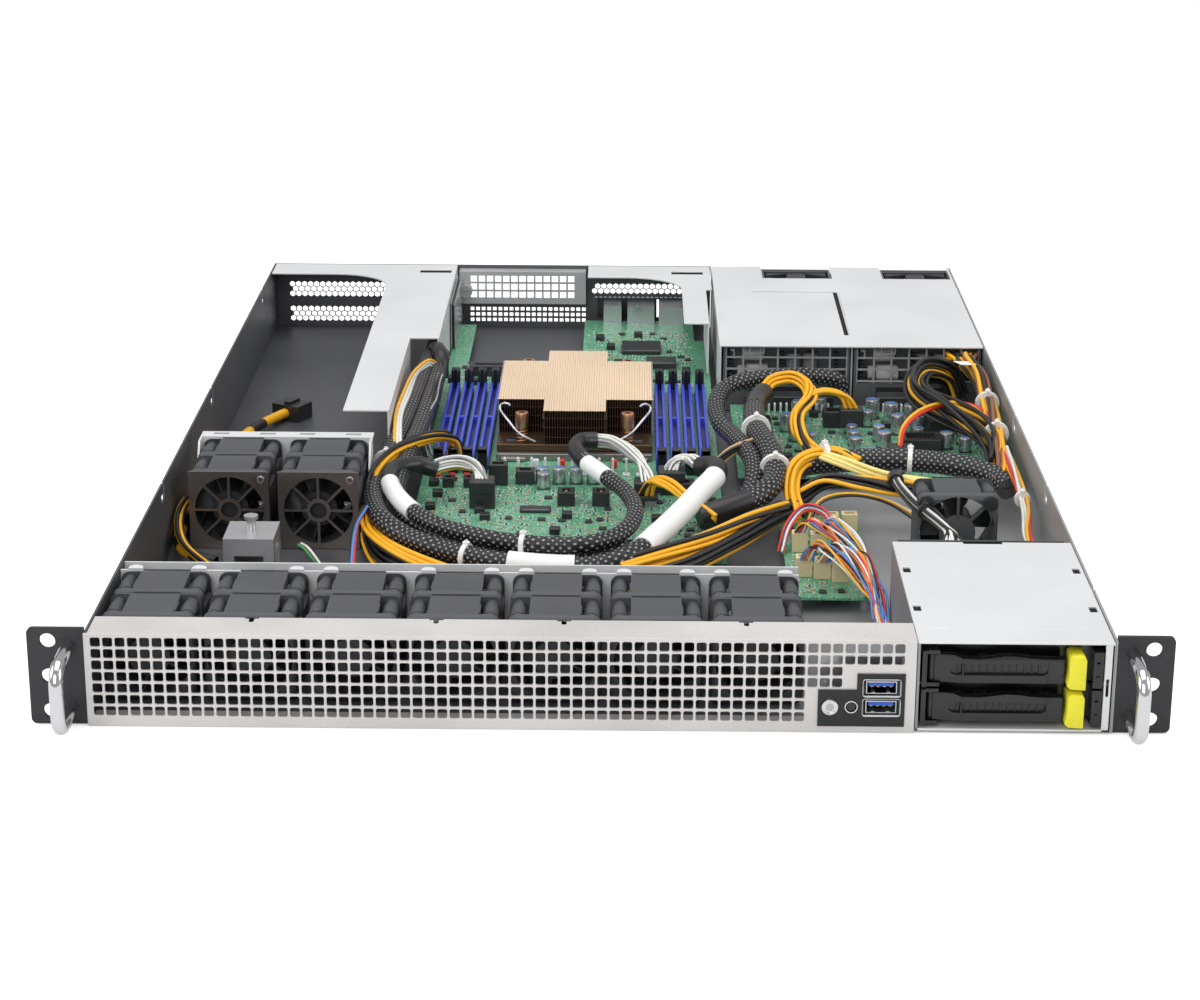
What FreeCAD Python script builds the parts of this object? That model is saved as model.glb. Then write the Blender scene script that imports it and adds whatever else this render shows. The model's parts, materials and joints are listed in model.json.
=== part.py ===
"""1U rack server with its lid off: chassis tray, perforated front, fan wall, drive bay, power bay.

Row frame in millimetres: X to the right, Y to the back, Z up.  The origin is the centre of the
tray's underside.  Depths are written as distances behind the front face and turned into Y by
the helpers, so a change of chassis length keeps the front and rear groups on their own ends.
"""
import FreeCAD
import Part
import math
import os

V = FreeCAD.Vector

# ---------------------------------------------------------------- driving dimensions
# chassis
BODY_W = 434.0            # tray width outside its side walls
BODY_L = 650.0            # tray depth, front face to rear face
BODY_H = 41.8             # height of the walls and of the flush covers
SHEET = 1.0               # tray and cover sheet
FRONT_T = 1.2             # front grille sheet
SEAT = 0.3                # clearance of a piece that drops in beside a wall

# rack ears and handles
EAR_SPAN = 482.6          # over both ears, the 19 inch standard
EAR_H = 43.5
EAR_T = 2.0
EAR_SETBACK = 2.0         # ear face behind the front face
EAR_CORNER_R = 2.5
RACK_HOLE_X = 465.1       # hole centre to hole centre across the rack
RACK_HOLE_Z = 15.875      # hole pitch up the rail
RACK_HOLE_R = 3.4
EAR_FLANGE_L = 30.0
HANDLE_X = 223.6
HANDLE_R = 3.0
HANDLE_REACH = 29.0       # ear face to the bar's centre line
HANDLE_SPAN = 28.0        # leg to leg
HANDLE_BEND_R = 8.0

# front grille
DRIVE_BAY_W = 83.6        # from the grille's right end to the right wall
GRILLE_W = BODY_W - DRIVE_BAY_W - 0.4
GRILLE_X1 = GRILLE_W - BODY_W / 2
GRILLE_FLANGE = 20.5      # depth of its folded top
GRILLE_FOOT = 12.0
HOLE_PITCH = 5.2
HOLE_SIDE = 4.1
HOLE_ROWS = 7
HOLE_COLUMNS = round((GRILLE_W - 6.8) / HOLE_PITCH)
HOLE_FIRST_X = 4.9 - BODY_W / 2
HOLE_TOP_Z = 38.0
KEY_NOTCHES = (-148.4, -69.8, -15.4, 62.1)
KEY_NOTCH_W = 6.0
KEY_NOTCH_L = 4.5

# front switches and ports
IO_X0 = GRILLE_X1 - 41.0
IO_STEP_X = GRILLE_X1 - 24.7
IO_X1 = GRILLE_X1 - 4.4
IO_Z0 = 3.0
IO_STEP_Z = 19.5
IO_Z1 = 26.8
IO_T = 0.8
IO_LAP = 1.0              # how far the overlay covers the grille around its window
POWER_X = IO_X0 + 5.1
POWER_Z = 11.8
POWER_R = 3.6
RESET_X = IO_X0 + 14.1
RESET_R = 2.0
BUTTON_GAP = 0.25
BUTTON_L = 11.0
USB_X = IO_X1 - 10.0
USB_LOW_Z = 11.9
USB_PITCH = 8.8
USB_W = 14.0
USB_H = 6.6
USB_L = 14.0
USB_WALL = 0.5
IO_BOARD_T = 1.6

# 40 mm fans
FAN = 40.0
FAN_L = 56.0
FAN_FLANGE = 4.0
FAN_BORE_R = 18.4
FAN_POST = 5.0            # screw corner left standing between the flanges
FAN_TIP_GAP = 0.6
FAN_HUB_R = 9.0
FAN_STATOR_L = 6.0
FRONT_FANS = 7
FRONT_FAN_X0 = 22.5 - BODY_W / 2     # centre of the first fan
FRONT_FAN_PITCH = 43.7
FRONT_FAN_D = 24.6
GPU_FAN_X = (30.0 - BODY_W / 2, 74.4 - BODY_W / 2)
GPU_FAN_D = 222.0
BAY_FAN_X = BODY_W / 2 - 45.0
BAY_FAN_D = 194.0
BAY_FAN_L = 28.0
BLADES_FRONT = 5
BLADES_REAR = 4

# fan brackets
WALL_D = 81.2             # front of the fan wall bracket
WALL_L = 11.2
WALL_X1 = 88.0
GPU_WALL_L = 9.0

# drive bay
CAGE_X0 = BODY_W / 2 - DRIVE_BAY_W
CAGE_L = 125.0
CAGE_TOP = 41.4
LEDGE_T = 0.7
CARRIER_H = 16.2
CARRIER_LOW_Z = 3.6
CARRIER_PITCH = 17.3
CARRIER_X0 = CAGE_X0 + 2.0
CARRIER_X1 = BODY_W / 2 - 5.6
CARRIER_L = 118.0
CARRIER_WALL = 2.0
BEZEL_D = 9.0             # bezel web behind the carrier's face
LEVER_X1 = CARRIER_X1 - 16.0
LEVER_T = 4.6
LEVER_PIVOT_X = CARRIER_X0 + 4.4
LEVER_PIVOT_D = 4.6
LEVER_BARREL_R = 2.1
PIVOT_R = 1.2
PIVOT_GAP = 0.08
TAB_W = 8.4
TAB_REACH = 3.2
END_BLOCK_X = CARRIER_X1 - 4.2
BACKPLANE_T = 1.6

# power bay
PSU_W = 73.5
PSU_H = 39.2
PSU_L = 185.0
PSU_GAP = 2.4
PSU_X0 = BODY_W / 2 - 151.0
PSU_GRID_L = 12.0
PSU_HANDLE = 9.0
BAY_X0 = PSU_X0 - 2.2
COVER_FRONT_D = 460.0

# boards
BOARD_Z = 7.0
BOARD_T = 1.6
BOARD_X0 = -98.0
BOARD_X1 = 60.0
BOARD_D0 = 187.0
BOARD_D1 = 637.0
CARD_X0 = -86.0
CARD_X1 = -17.0
CARD_D0 = 538.0
STANDOFF_R = 3.0

# processor and memory
CPU_X = -17.8
SINK_W = 84.4
SINK_L = 76.0
SINK_MID_W = 35.0
SINK_MID_L = 119.5
SINK_D = 407.0            # centre of the heatsink
SINK_BASE_Z = 12.6
SINK_BASE_T = 4.0
SINK_TOP = 36.0
SINK_COVER = 0.6          # thickness of the folded fin tops
SINK_FINS = 28
FIN_T = 0.9
POST_X = 28.7             # spring screws left and right of the processor's centre
POST_D = 52.0             # and in front of and behind it
POST_R = 3.6
DIMM_SLOTS = 4
DIMM_PITCH = 7.8
DIMM_LEFT_X = -89.8       # first slot of the left bank
DIMM_RIGHT_X = 29.3
DIMM_D0 = 326.0
DIMM_L = 144.0
DIMM_W = 5.8
DIMM_H = 7.0
LATCH_L = 6.5
LATCH_W = 5.0
LATCH_H = 14.0

# accelerator power lead
GPU_LEAD_R = 2.8
PLUG_W = 18.0
PLUG_L = 14.0
PLUG_H = 9.0

# rear panel
HEX_X = (-208.0, -104.0)
HEX_LOW = (2.4, 15.4)
HEX_HIGH = (19.4, 31.0)
CARD_SLOT_Z = (17.6, 39.0)
SMALL_HOLE = 2.4
SMALL_PITCH = 3.6
HOLDER_X0 = -97.6
HOLDER_X1 = -16.6
HOLDER_L = 9.0
HOLDER_HOLE = 4.0
HOLDER_PITCH = 5.2

PARTS = {}


# ---------------------------------------------------------------- helpers
def y_of(depth):
    """Y of a place given as its depth behind the front face."""
    return depth - BODY_L / 2


def rear(distance):
    """Depth of a place given as its distance in front of the rear face."""
    return BODY_L - distance


def box(x0, x1, d0, d1, z0, z1):
    return Part.makeBox(x1 - x0, d1 - d0, z1 - z0, V(x0, y_of(d0), z0))


def rod(x, d, z, radius, length, axis):
    """Cylinder that starts at the point and runs along +X, +Y or +Z."""
    way = {"x": V(1, 0, 0), "y": V(0, 1, 0), "z": V(0, 0, 1)}[axis]
    return Part.makeCylinder(radius, length, V(x, y_of(d), z), way)


def plan(points, z0, height):
    """Prism on an outline of (x, depth) points."""
    corners = [V(x, y_of(d), z0) for x, d in points]
    return Part.Face(Part.makePolygon(corners + corners[:1])).extrude(V(0, 0, height))


def front_face(points, d, thickness):
    """Prism on an outline of (x, z) points, running back from a depth."""
    corners = [V(x, y_of(d), z) for x, z in points]
    return Part.Face(Part.makePolygon(corners + corners[:1])).extrude(V(0, thickness, 0))


def side_face(points, x, thickness):
    """Prism on an outline of (depth, z) points, running right from x."""
    corners = [V(x, y_of(d), z) for d, z in points]
    return Part.Face(Part.makePolygon(corners + corners[:1])).extrude(V(thickness, 0, 0))


def join(shapes):
    first, rest = shapes[0], shapes[1:]
    return first.fuse(rest).removeSplitter() if rest else first


def minus(shape, tools):
    return shape.cut(Part.makeCompound(tools))


def perforated(outline, centres, side, direction):
    """Sheet with square holes: a face with its hole outlines, given its thickness at once."""
    wires = [Part.makePolygon(outline + outline[:1])]
    half = side / 2
    for c in centres:
        square = [V(c.x - half, c.y, c.z - half), V(c.x + half, c.y, c.z - half),
                  V(c.x + half, c.y, c.z + half), V(c.x - half, c.y, c.z + half)]
        wires.append(Part.makePolygon(square + square[:1]))
    return Part.makeFace(wires, "Part::FaceMakerBullseye").extrude(direction)


def tube(points, radius, name):
    """Round cord along straight runs joined by arcs as large as the runs allow."""
    pts = [V(x, y_of(d), z) for x, d, z in points]
    edges = []
    here = pts[0]
    radii = []
    for before, corner, after in zip(pts, pts[1:], pts[2:]):
        back, on = corner - before, after - corner
        turn = back.getAngle(on)
        short = min(back.Length, on.Length)
        cut = 0.45 * short
        radii.append(cut / math.tan(turn / 2))
        back.normalize()
        on.normalize()
        start, end = corner - back * cut, corner + on * cut
        bisector = on - back
        bisector.normalize()
        centre = corner + bisector * (radii[-1] / math.cos(turn / 2))
        middle = centre - bisector * radii[-1]
        edges.append(Part.LineSegment(here, start).toShape())
        edges.append(Part.Arc(start, middle, end).toShape())
        here = end
    edges.append(Part.LineSegment(here, pts[-1]).toShape())
    path = Part.Wire(edges)
    way = pts[1] - pts[0]
    ring = Part.Wire([Part.makeCircle(radius, pts[0], way)])
    solid = path.makePipe(Part.Face(ring))
    expected = math.pi * radius ** 2 * path.Length
    print(f"{name}: length {path.Length:.0f} mm, least bend {min(radii) / radius / 2:.1f} diameters, "
          f"volume {solid.Volume / expected:.3f} of section times length")
    return solid


def keep(name, *solids):
    """Store a node: one solid, or a group of separate like solids."""
    PARTS[name] = solids[0] if len(solids) == 1 else Part.makeCompound(list(solids))


# ---------------------------------------------------------------- chassis tray and rear panel
def cover_notch(x0, depth):
    """J-shaped slot that the lid's tongue drops into and slides along."""
    outline = [(depth, BODY_H + 1), (depth, BODY_H - 9), (depth - 9, BODY_H - 9),
               (depth - 9, BODY_H - 5), (depth - 4, BODY_H - 5), (depth - 4, BODY_H + 1)]
    return side_face(outline, x0 - 0.5, SHEET + 1)


def standoff(x, depth):
    return rod(x, depth, SHEET / 2, STANDOFF_R, BOARD_Z - SHEET / 2, "z")


def tray():
    half = BODY_W / 2
    shell = box(-half, half, FRONT_T, BODY_L, 0, BODY_H)
    shell = shell.cut(box(-half + SHEET, half - SHEET, 0, BODY_L - SHEET, SHEET, BODY_H + 1))
    cuts = [cover_notch(-half, d) for d in (204.0, 369.0, rear(64.0))]
    cuts += [cover_notch(half - SHEET, d) for d in (67.0, 212.0, 330.0, rear(64.0))]
    back = (BODY_L - SHEET - 1, BODY_L + 1)
    cuts.append(box(*HEX_X, *back, *HEX_LOW))
    cuts.append(box(*HEX_X, *back, *HEX_HIGH))
    cuts.append(box(HOLDER_X0 + 2, HOLDER_X1 - 2, *back, *CARD_SLOT_Z))
    cuts.append(box(-13.0, 46.0, *back, 22.4, 31.0))
    cuts.append(box(-9.0, 50.0, *back, BOARD_Z + 0.8, 20.4))
    cuts.append(box(BAY_X0 - SEAT, half - SHEET, *back, SHEET, BODY_H + 1))
    for row in range(3):
        for column in range(21):
            x = -90.0 + SMALL_PITCH * column
            z = 5.6 + SMALL_PITCH * row
            cuts.append(box(x - SMALL_HOLE / 2, x + SMALL_HOLE / 2, *back,
                            z - SMALL_HOLE / 2, z + SMALL_HOLE / 2))
    shell = minus(shell, cuts)
    posts = [standoff(x, d) for x, d in board_posts() + power_posts() + hub_posts()]
    return shell.fuse(posts)


def board_posts():
    return [(BOARD_X0 + 5, BOARD_D0 + 6), (BOARD_X1 - 5, BOARD_D0 + 6), (BOARD_X0 + 5, 500.0),
            (BOARD_X1 - 5, 490.0), (BOARD_X0 + 5, BOARD_D1 - 8), (0.0, BOARD_D1 - 30)]


def power_posts():
    return [(76.0, 326.0), (202.0, 326.0), (76.0, 446.0), (202.0, 446.0)]


def hub_posts():
    return [(92.0, 144.0), (124.0, 144.0), (92.0, 256.0), (124.0, 256.0)]


# ---------------------------------------------------------------- front
def front_grille():
    x0 = -BODY_W / 2
    x1 = x0 + GRILLE_W
    window = (IO_X0 + IO_LAP, IO_X1 - IO_LAP, IO_Z0 + IO_LAP, IO_Z1 - IO_LAP)
    step = (IO_STEP_X + IO_LAP, IO_STEP_Z - IO_LAP)
    centres = []
    for row in range(HOLE_ROWS):
        for column in range(HOLE_COLUMNS):
            x = HOLE_FIRST_X + HOLE_PITCH * column
            z = HOLE_TOP_Z - HOLE_PITCH * row
            top = IO_Z1 if x > IO_STEP_X - HOLE_SIDE else IO_STEP_Z
            if x < IO_X0 - HOLE_SIDE / 2 - 0.4 or z > top + HOLE_SIDE / 2 + 0.4:
                centres.append(V(x, y_of(0), z))
    outline = [V(x, y_of(0), z) for x, z in ((x0, 0), (x1, 0), (x1, BODY_H), (x0, BODY_H))]
    face = perforated(outline, centres, HOLE_SIDE, V(0, FRONT_T, 0))
    opening = front_face([(window[0], window[2]), (window[1], window[2]), (window[1], window[3]),
                          (step[0], window[3]), (step[0], step[1]), (window[0], step[1])], -1, 4)
    face = face.cut(opening)
    left = x0 + SHEET + SEAT
    flange = plan([(left, FRONT_T), (x1, FRONT_T), (x1, GRILLE_FLANGE - 5), (x1 - 5, GRILLE_FLANGE),
                   (left + 5, GRILLE_FLANGE), (left, GRILLE_FLANGE - 5)], BODY_H - FRONT_T, FRONT_T)
    keys = [plan([(x - KEY_NOTCH_W / 2, GRILLE_FLANGE + 1), (x + KEY_NOTCH_W / 2, GRILLE_FLANGE + 1),
                  (x + 1.2, GRILLE_FLANGE - KEY_NOTCH_L), (x - 1.2, GRILLE_FLANGE - KEY_NOTCH_L)],
                 BODY_H - 2 * FRONT_T, 3 * FRONT_T) for x in KEY_NOTCHES]
    flange = minus(flange, keys)
    foot = box(left, x1, FRONT_T, GRILLE_FOOT, SHEET, SHEET + FRONT_T)
    return face.fuse([flange, foot])


def io_panel():
    """Black overlay on the grille's lower right corner, with its button and port openings."""
    plate = front_face([(IO_X0, IO_Z0), (IO_X1, IO_Z0), (IO_X1, IO_Z1), (IO_STEP_X, IO_Z1),
                        (IO_STEP_X, IO_STEP_Z), (IO_X0, IO_STEP_Z)], -IO_T, IO_T)
    cuts = [rod(POWER_X, -IO_T - 1, POWER_Z, POWER_R + BUTTON_GAP, 5, "y"),
            rod(RESET_X, -IO_T - 1, POWER_Z, RESET_R + BUTTON_GAP, 5, "y")]
    for z in (USB_LOW_Z, USB_LOW_Z + USB_PITCH):
        cuts.append(box(USB_X - USB_W / 2, USB_X + USB_W / 2, -2, 2, z - USB_H / 2, z + USB_H / 2))
    return minus(plate, cuts)


def usb_port(z):
    w, h = USB_W / 2 - 0.4, USB_H / 2 - 0.4
    shell = box(USB_X - w, USB_X + w, 0.0, USB_L, z - h, z + h)
    inner = box(USB_X - w + USB_WALL, USB_X + w - USB_WALL, -1, USB_L - 2, z - h + USB_WALL, z + h - USB_WALL)
    tongue = box(USB_X - 5.4, USB_X + 5.4, 1.5, USB_L - 1.5, z + 0.2, z + 1.9)
    return shell.cut(inner).fuse(tongue)


def front_io_board():
    """Upright switch board: the two buttons press its tact switches, the ports stand on it."""
    d = USB_L
    board = box(IO_X0 + 0.5, IO_X1 - 0.2, d, d + IO_BOARD_T, SHEET + FRONT_T + SEAT, IO_Z1 + 2)
    switches = [box(x - 3, x + 3, BUTTON_L + 1.4, d, POWER_Z - 3, POWER_Z + 3) for x in (POWER_X, RESET_X)]
    ports = [usb_port(z) for z in (USB_LOW_Z, USB_LOW_Z + USB_PITCH)]
    keep("front_io_board", board.fuse(switches), *ports)


def buttons():
    power = rod(POWER_X, -1.6, POWER_Z, POWER_R, BUTTON_L + 1.6, "y")
    power = power.cut(rod(POWER_X, -2.6, POWER_Z, POWER_R - 0.9, 1.4, "y"))
    reset = rod(RESET_X, -0.4, POWER_Z, RESET_R, BUTTON_L + 0.4, "y")
    keep("power_button", power)
    keep("reset_button", reset)


def rack_ear(side):
    """Ear plate with its three rail holes and the flange riveted to the tray's side."""
    inner = BODY_W / 2
    outer = EAR_SPAN / 2
    d0 = EAR_SETBACK
    plate = box(inner, outer, d0, d0 + EAR_T, 0, EAR_H)
    corners = [e for e in plate.Edges if abs(e.BoundBox.YLength - EAR_T) < 0.01
               and e.BoundBox.XMin > outer - 0.01]
    plate = plate.makeFillet(EAR_CORNER_R, corners)
    holes = [rod(RACK_HOLE_X / 2, d0 - 1, EAR_H / 2 + k * RACK_HOLE_Z, RACK_HOLE_R, EAR_T + 2, "y")
             for k in (-1, 0, 1)]
    plate = minus(plate, holes)
    flange = box(inner, inner + 1.5, d0 + EAR_T, d0 + EAR_FLANGE_L, 3, BODY_H - 3)
    ear = plate.fuse(flange)
    return ear if side > 0 else ear.mirror(V(0, 0, 0), V(1, 0, 0))


def pull_handle(side):
    """Chrome bar bent into a U, its two legs screwed to the ear."""
    x = HANDLE_X
    y0 = y_of(EAR_SETBACK)
    y1 = y0 - HANDLE_REACH
    z0 = EAR_H / 2 - HANDLE_SPAN / 2
    z1 = EAR_H / 2 + HANDLE_SPAN / 2
    r = HANDLE_BEND_R
    k = r * (1 - math.sqrt(0.5))
    path = Part.Wire([
        Part.LineSegment(V(x, y0, z0), V(x, y1 + r, z0)).toShape(),
        Part.Arc(V(x, y1 + r, z0), V(x, y1 + k, z0 + k), V(x, y1, z0 + r)).toShape(),
        Part.LineSegment(V(x, y1, z0 + r), V(x, y1, z1 - r)).toShape(),
        Part.Arc(V(x, y1, z1 - r), V(x, y1 + k, z1 - k), V(x, y1 + r, z1)).toShape(),
        Part.LineSegment(V(x, y1 + r, z1), V(x, y0, z1)).toShape()])
    ring = Part.Wire([Part.makeCircle(HANDLE_R, V(x, y0, z0), V(0, -1, 0))])
    bar = path.makePipe(Part.Face(ring))
    return bar if side > 0 else bar.mirror(V(0, 0, 0), V(1, 0, 0))


# ---------------------------------------------------------------- fans
def fan_frame(x, d, length):
    """Square fan housing: flanges at the ends and the middle, cut-back corners, open bore."""
    z0 = SHEET + SEAT
    half = FAN / 2
    block = box(x - half, x + half, d, d + length, z0, z0 + FAN)
    cuts = [rod(x, d - 1, z0 + half, FAN_BORE_R, length + 2, "y")]
    stator = stator_depth(length)
    spans = [(FAN_FLANGE, length - FAN_FLANGE)]
    if length > FAN:
        spans = [(FAN_FLANGE, stator - FAN_FLANGE), (stator + FAN_FLANGE, length - FAN_FLANGE)]
    for a, b in spans:
        for sx in (-1, 1):
            for z in (z0, z0 + FAN):
                corner = box(x + sx * half - FAN_POST * 1.5, x + sx * half + FAN_POST * 1.5,
                             d + a, d + b, z - FAN_POST, z + FAN_POST)
                cuts.append(corner)
    frame = minus(block, cuts)
    posts = []
    inset = FAN_POST * 0.8
    for sx in (-1, 1):
        for z in (z0 + inset, z0 + FAN - inset):
            post = x + sx * (half - inset)
            posts.append(box(post - 1.5, post + 1.5, d + 0.5, d + length - 0.5, z - 1.5, z + 1.5))
    hub = rod(x, d + stator - FAN_STATOR_L / 2, z0 + half, FAN_HUB_R, FAN_STATOR_L, "y")
    struts = []
    for k in range(4):
        strut = box(x - 1, x + 1, d + stator - 1.5, d + stator + 1.5, z0 + half + FAN_HUB_R - 1,
                    z0 + half + FAN_BORE_R + 0.6)
        strut.rotate(V(x, 0, z0 + half), V(0, 1, 0), 45 + 90 * k)
        struts.append(strut)
    return frame.fuse(posts + [hub] + struts)


def stator_depth(length):
    """Middle of the motor mount: halfway in a two-stage fan, at the back of a single one."""
    return length / 2 if length > FAN else length - FAN_STATOR_L / 2


def impeller(x, z, d0, d1, blades, hand):
    """Cup-shaped hub with pitched blades, each a curved plate lofted from root to tip."""
    tip = FAN_BORE_R - FAN_TIP_GAP
    pieces = [rod(x, d0, z, FAN_HUB_R, d1 - d0, "y")]
    chord = (d1 - d0) * 0.8
    y0 = y_of(d0) + (d1 - d0 - chord) / 2
    for k in range(blades):
        sections = []
        for r, sweep in ((FAN_HUB_R - 0.8, 5.0), (tip, 8.5)):
            corners = [V(x - hand * sweep, y0, z + r), V(x - hand * sweep + 1.2, y0, z + r),
                       V(x + hand * sweep + 1.2, y0 + chord, z + r), V(x + hand * sweep, y0 + chord, z + r)]
            sections.append(Part.makePolygon(corners + corners[:1]))
        blade = Part.makeLoft(sections, True, True)
        blade = blade.common(rod(x, d0, z, tip, d1 - d0, "y"))
        blade.rotate(V(x, 0, z), V(0, 1, 0), 360.0 * k / blades)
        pieces.append(blade)
    return join(pieces)


def fan_rotors(name, x, d, length):
    """The impeller in front of a fan's stator, and in a two-stage fan the one behind it."""
    z = SHEET + SEAT + FAN / 2
    gap = FAN_STATOR_L / 2 + SEAT
    middle = d + stator_depth(length)
    wheels = [impeller(x, z, d + 2.0, middle - gap, BLADES_FRONT, 1)]
    if length > FAN:
        wheels.append(impeller(x, z, middle + gap, d + length - 2.0, BLADES_REAR, -1))
    keep(name, *wheels)


def front_fans():
    xs = [FRONT_FAN_X0 + FRONT_FAN_PITCH * k for k in range(FRONT_FANS)]
    keep("front_fan_frames", *[fan_frame(x, FRONT_FAN_D, FAN_L) for x in xs])
    for k, x in enumerate(xs):
        fan_rotors(f"front_fan_rotor_{k + 1}", x, FRONT_FAN_D, FAN_L)


def gpu_fans():
    keep("gpu_fan_frames", *[fan_frame(x, GPU_FAN_D, FAN_L) for x in GPU_FAN_X])
    for k, x in enumerate(GPU_FAN_X):
        fan_rotors(f"gpu_fan_rotor_{k + 1}", x, GPU_FAN_D, FAN_L)
    keep("gpu_fan_guards", *[fan_guard(x) for x in GPU_FAN_X])


def fan_guard(x):
    """Pressed guard on the fan's front: square rim, round window, hub ring and eight spokes."""
    z0 = SHEET + SEAT
    z = z0 + FAN / 2
    d = GPU_FAN_D - 1.6
    rim = box(x - FAN / 2, x + FAN / 2, d, d + 1.2, z0, z0 + FAN)
    rim = rim.cut(rod(x, d - 1, z, FAN_BORE_R - 1.2, 4, "y"))
    ring = rod(x, d, z, 6.0, 1.2, "y").cut(rod(x, d - 1, z, 4.2, 4, "y"))
    spokes = []
    for k in range(8):
        spoke = box(x - 0.6, x + 0.6, d, d + 1.2, z + 5.0, z + FAN_BORE_R - 0.2)
        spoke.rotate(V(x, 0, z), V(0, 1, 0), 45 * k)
        spokes.append(spoke)
    return rim.fuse([ring] + spokes)


def bay_fan():
    keep("bay_fan_frame", fan_frame(BAY_FAN_X, BAY_FAN_D, BAY_FAN_L))
    fan_rotors("bay_fan_rotor", BAY_FAN_X, BAY_FAN_D, BAY_FAN_L)


def fan_wall_bracket():
    """Folded wall behind the front fans, with windows for the air and slots for the wires."""
    x0 = -BODY_W / 2 + SHEET + SEAT
    z0 = SHEET
    wall = box(x0, WALL_X1, WALL_D, WALL_D + SHEET, z0, BODY_H - 0.2)
    top = box(x0, WALL_X1, WALL_D + SHEET, WALL_D + WALL_L, BODY_H - 0.2 - SHEET, BODY_H - 0.2)
    foot = box(x0, WALL_X1, WALL_D + SHEET, WALL_D + WALL_L, z0, z0 + SHEET)
    cuts = []
    z = SHEET + SEAT + FAN / 2
    for k in range(FRONT_FANS):
        x = FRONT_FAN_X0 + FRONT_FAN_PITCH * k
        cuts.append(rod(x, WALL_D - 1, z, FAN_BORE_R, SHEET + 2, "y"))
    for x in (-185.0, -72.0, 12.0):
        cuts.append(box(x, x + 9, WALL_D + 3, WALL_D + WALL_L + 1, BODY_H - 3, BODY_H + 1))
    return minus(wall.fuse([top, foot]), cuts)


def gpu_fan_bracket():
    """Folded bracket that carries the two rear fans, with a wing down each outer side."""
    d = GPU_FAN_D + FAN_L + 0.2
    x0 = GPU_FAN_X[0] - FAN / 2 - 2.2
    x1 = GPU_FAN_X[1] + FAN / 2 + 2.2
    top = SHEET + SEAT + FAN + 0.2
    wall = box(x0, x1, d, d + SHEET, SHEET, top)
    cap = box(x0, x1, d + SHEET, d + GPU_WALL_L, top - SHEET, top)
    foot = box(x0, x1, d + SHEET, d + GPU_WALL_L, SHEET, 2 * SHEET)
    wings = [side_face([(d - 16, SHEET), (d, SHEET), (d, top), (d - 8, top), (d - 16, top - 12)], x, SHEET)
             for x in (x0, x1 - SHEET)]
    z = SHEET + SEAT + FAN / 2
    cuts = [rod(x, d - 1, z, FAN_BORE_R, SHEET + 2, "y") for x in GPU_FAN_X]
    for x in GPU_FAN_X:
        for side in (-1, 1):
            cuts.append(box(x + side * 12 - 4, x + side * 12 + 4, d + 4, d + 7, top - 2, top + 1))
    return minus(wall.fuse([cap, foot] + wings), cuts)


def cover_stud_bracket():
    """Bent bracket with a stud that locates the lid, and a U-shaped slot in its front leg."""
    x0, x1 = -180.0, -156.0
    d0, d1 = 150.0, 176.0
    top = 31.0
    block = side_face([(d0, SHEET), (d0 + SHEET, SHEET), (d0 + SHEET, top - SHEET), (d1 - SHEET, top - SHEET),
                       (d1 - SHEET, SHEET), (d1, SHEET), (d1, top), (d0, top)], x0, x1 - x0)
    cheeks = [box(x, x + SHEET, d0 + 4, d1 - 4, SHEET, top - SHEET) for x in (x0, x1 - SHEET)]
    slot = box(x0 + 5, x1 - 5, d0 - 1, d0 + 2, 15.5, 22.5).cut(box(x0 + 9, x1 - 5, d0 - 1, d0 + 2, 15.5, 18.5))
    stud = rod((x0 + x1) / 2, (d0 + d1) / 2, top, 2.2, 6.0, "z")
    head = rod((x0 + x1) / 2, (d0 + d1) / 2, top + 6.0, 3.4, 1.6, "z")
    return block.fuse(cheeks).cut(slot).fuse([stud, head])


# ---------------------------------------------------------------- drive bay
def drive_cage():
    """Sheet cage round the two carriers, open at the front and back, with a middle shelf ledge."""
    x1 = BODY_W / 2 - SHEET - SEAT
    shell = box(CAGE_X0, x1, 0, CAGE_L, SHEET, CAGE_TOP)
    inner = box(CAGE_X0 + SHEET, x1 - SHEET, -1, CAGE_L + 1, 2 * SHEET, CAGE_TOP - SHEET)
    cage = shell.cut(inner)
    flange = box(CARRIER_X1 + 0.5, x1, 0, SHEET, SHEET, CAGE_TOP - 1)
    slot = box(CARRIER_X1 + 1.4, CARRIER_X1 + 2.6, -1, 3, 17, 25)
    ledges = []
    for k in range(2):
        z = CARRIER_LOW_Z + CARRIER_PITCH * k - LEDGE_T - 0.2
        ledges.append(box(CAGE_X0 + SHEET / 2, CAGE_X0 + 4, 6, CAGE_L, z, z + LEDGE_T))
        ledges.append(box(x1 - 6, x1 - SHEET / 2, 6, CAGE_L, z, z + LEDGE_T))
    holes = [box(x - 1.6, x + 1.6, d - 1.6, d + 1.6, CAGE_TOP - 2, CAGE_TOP + 1)
             for x in (CAGE_X0 + 3.2, x1 - 3.2) for d in (39.5, 87.5)]
    return minus(cage.fuse([flange] + ledges), holes + [slot])


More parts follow.
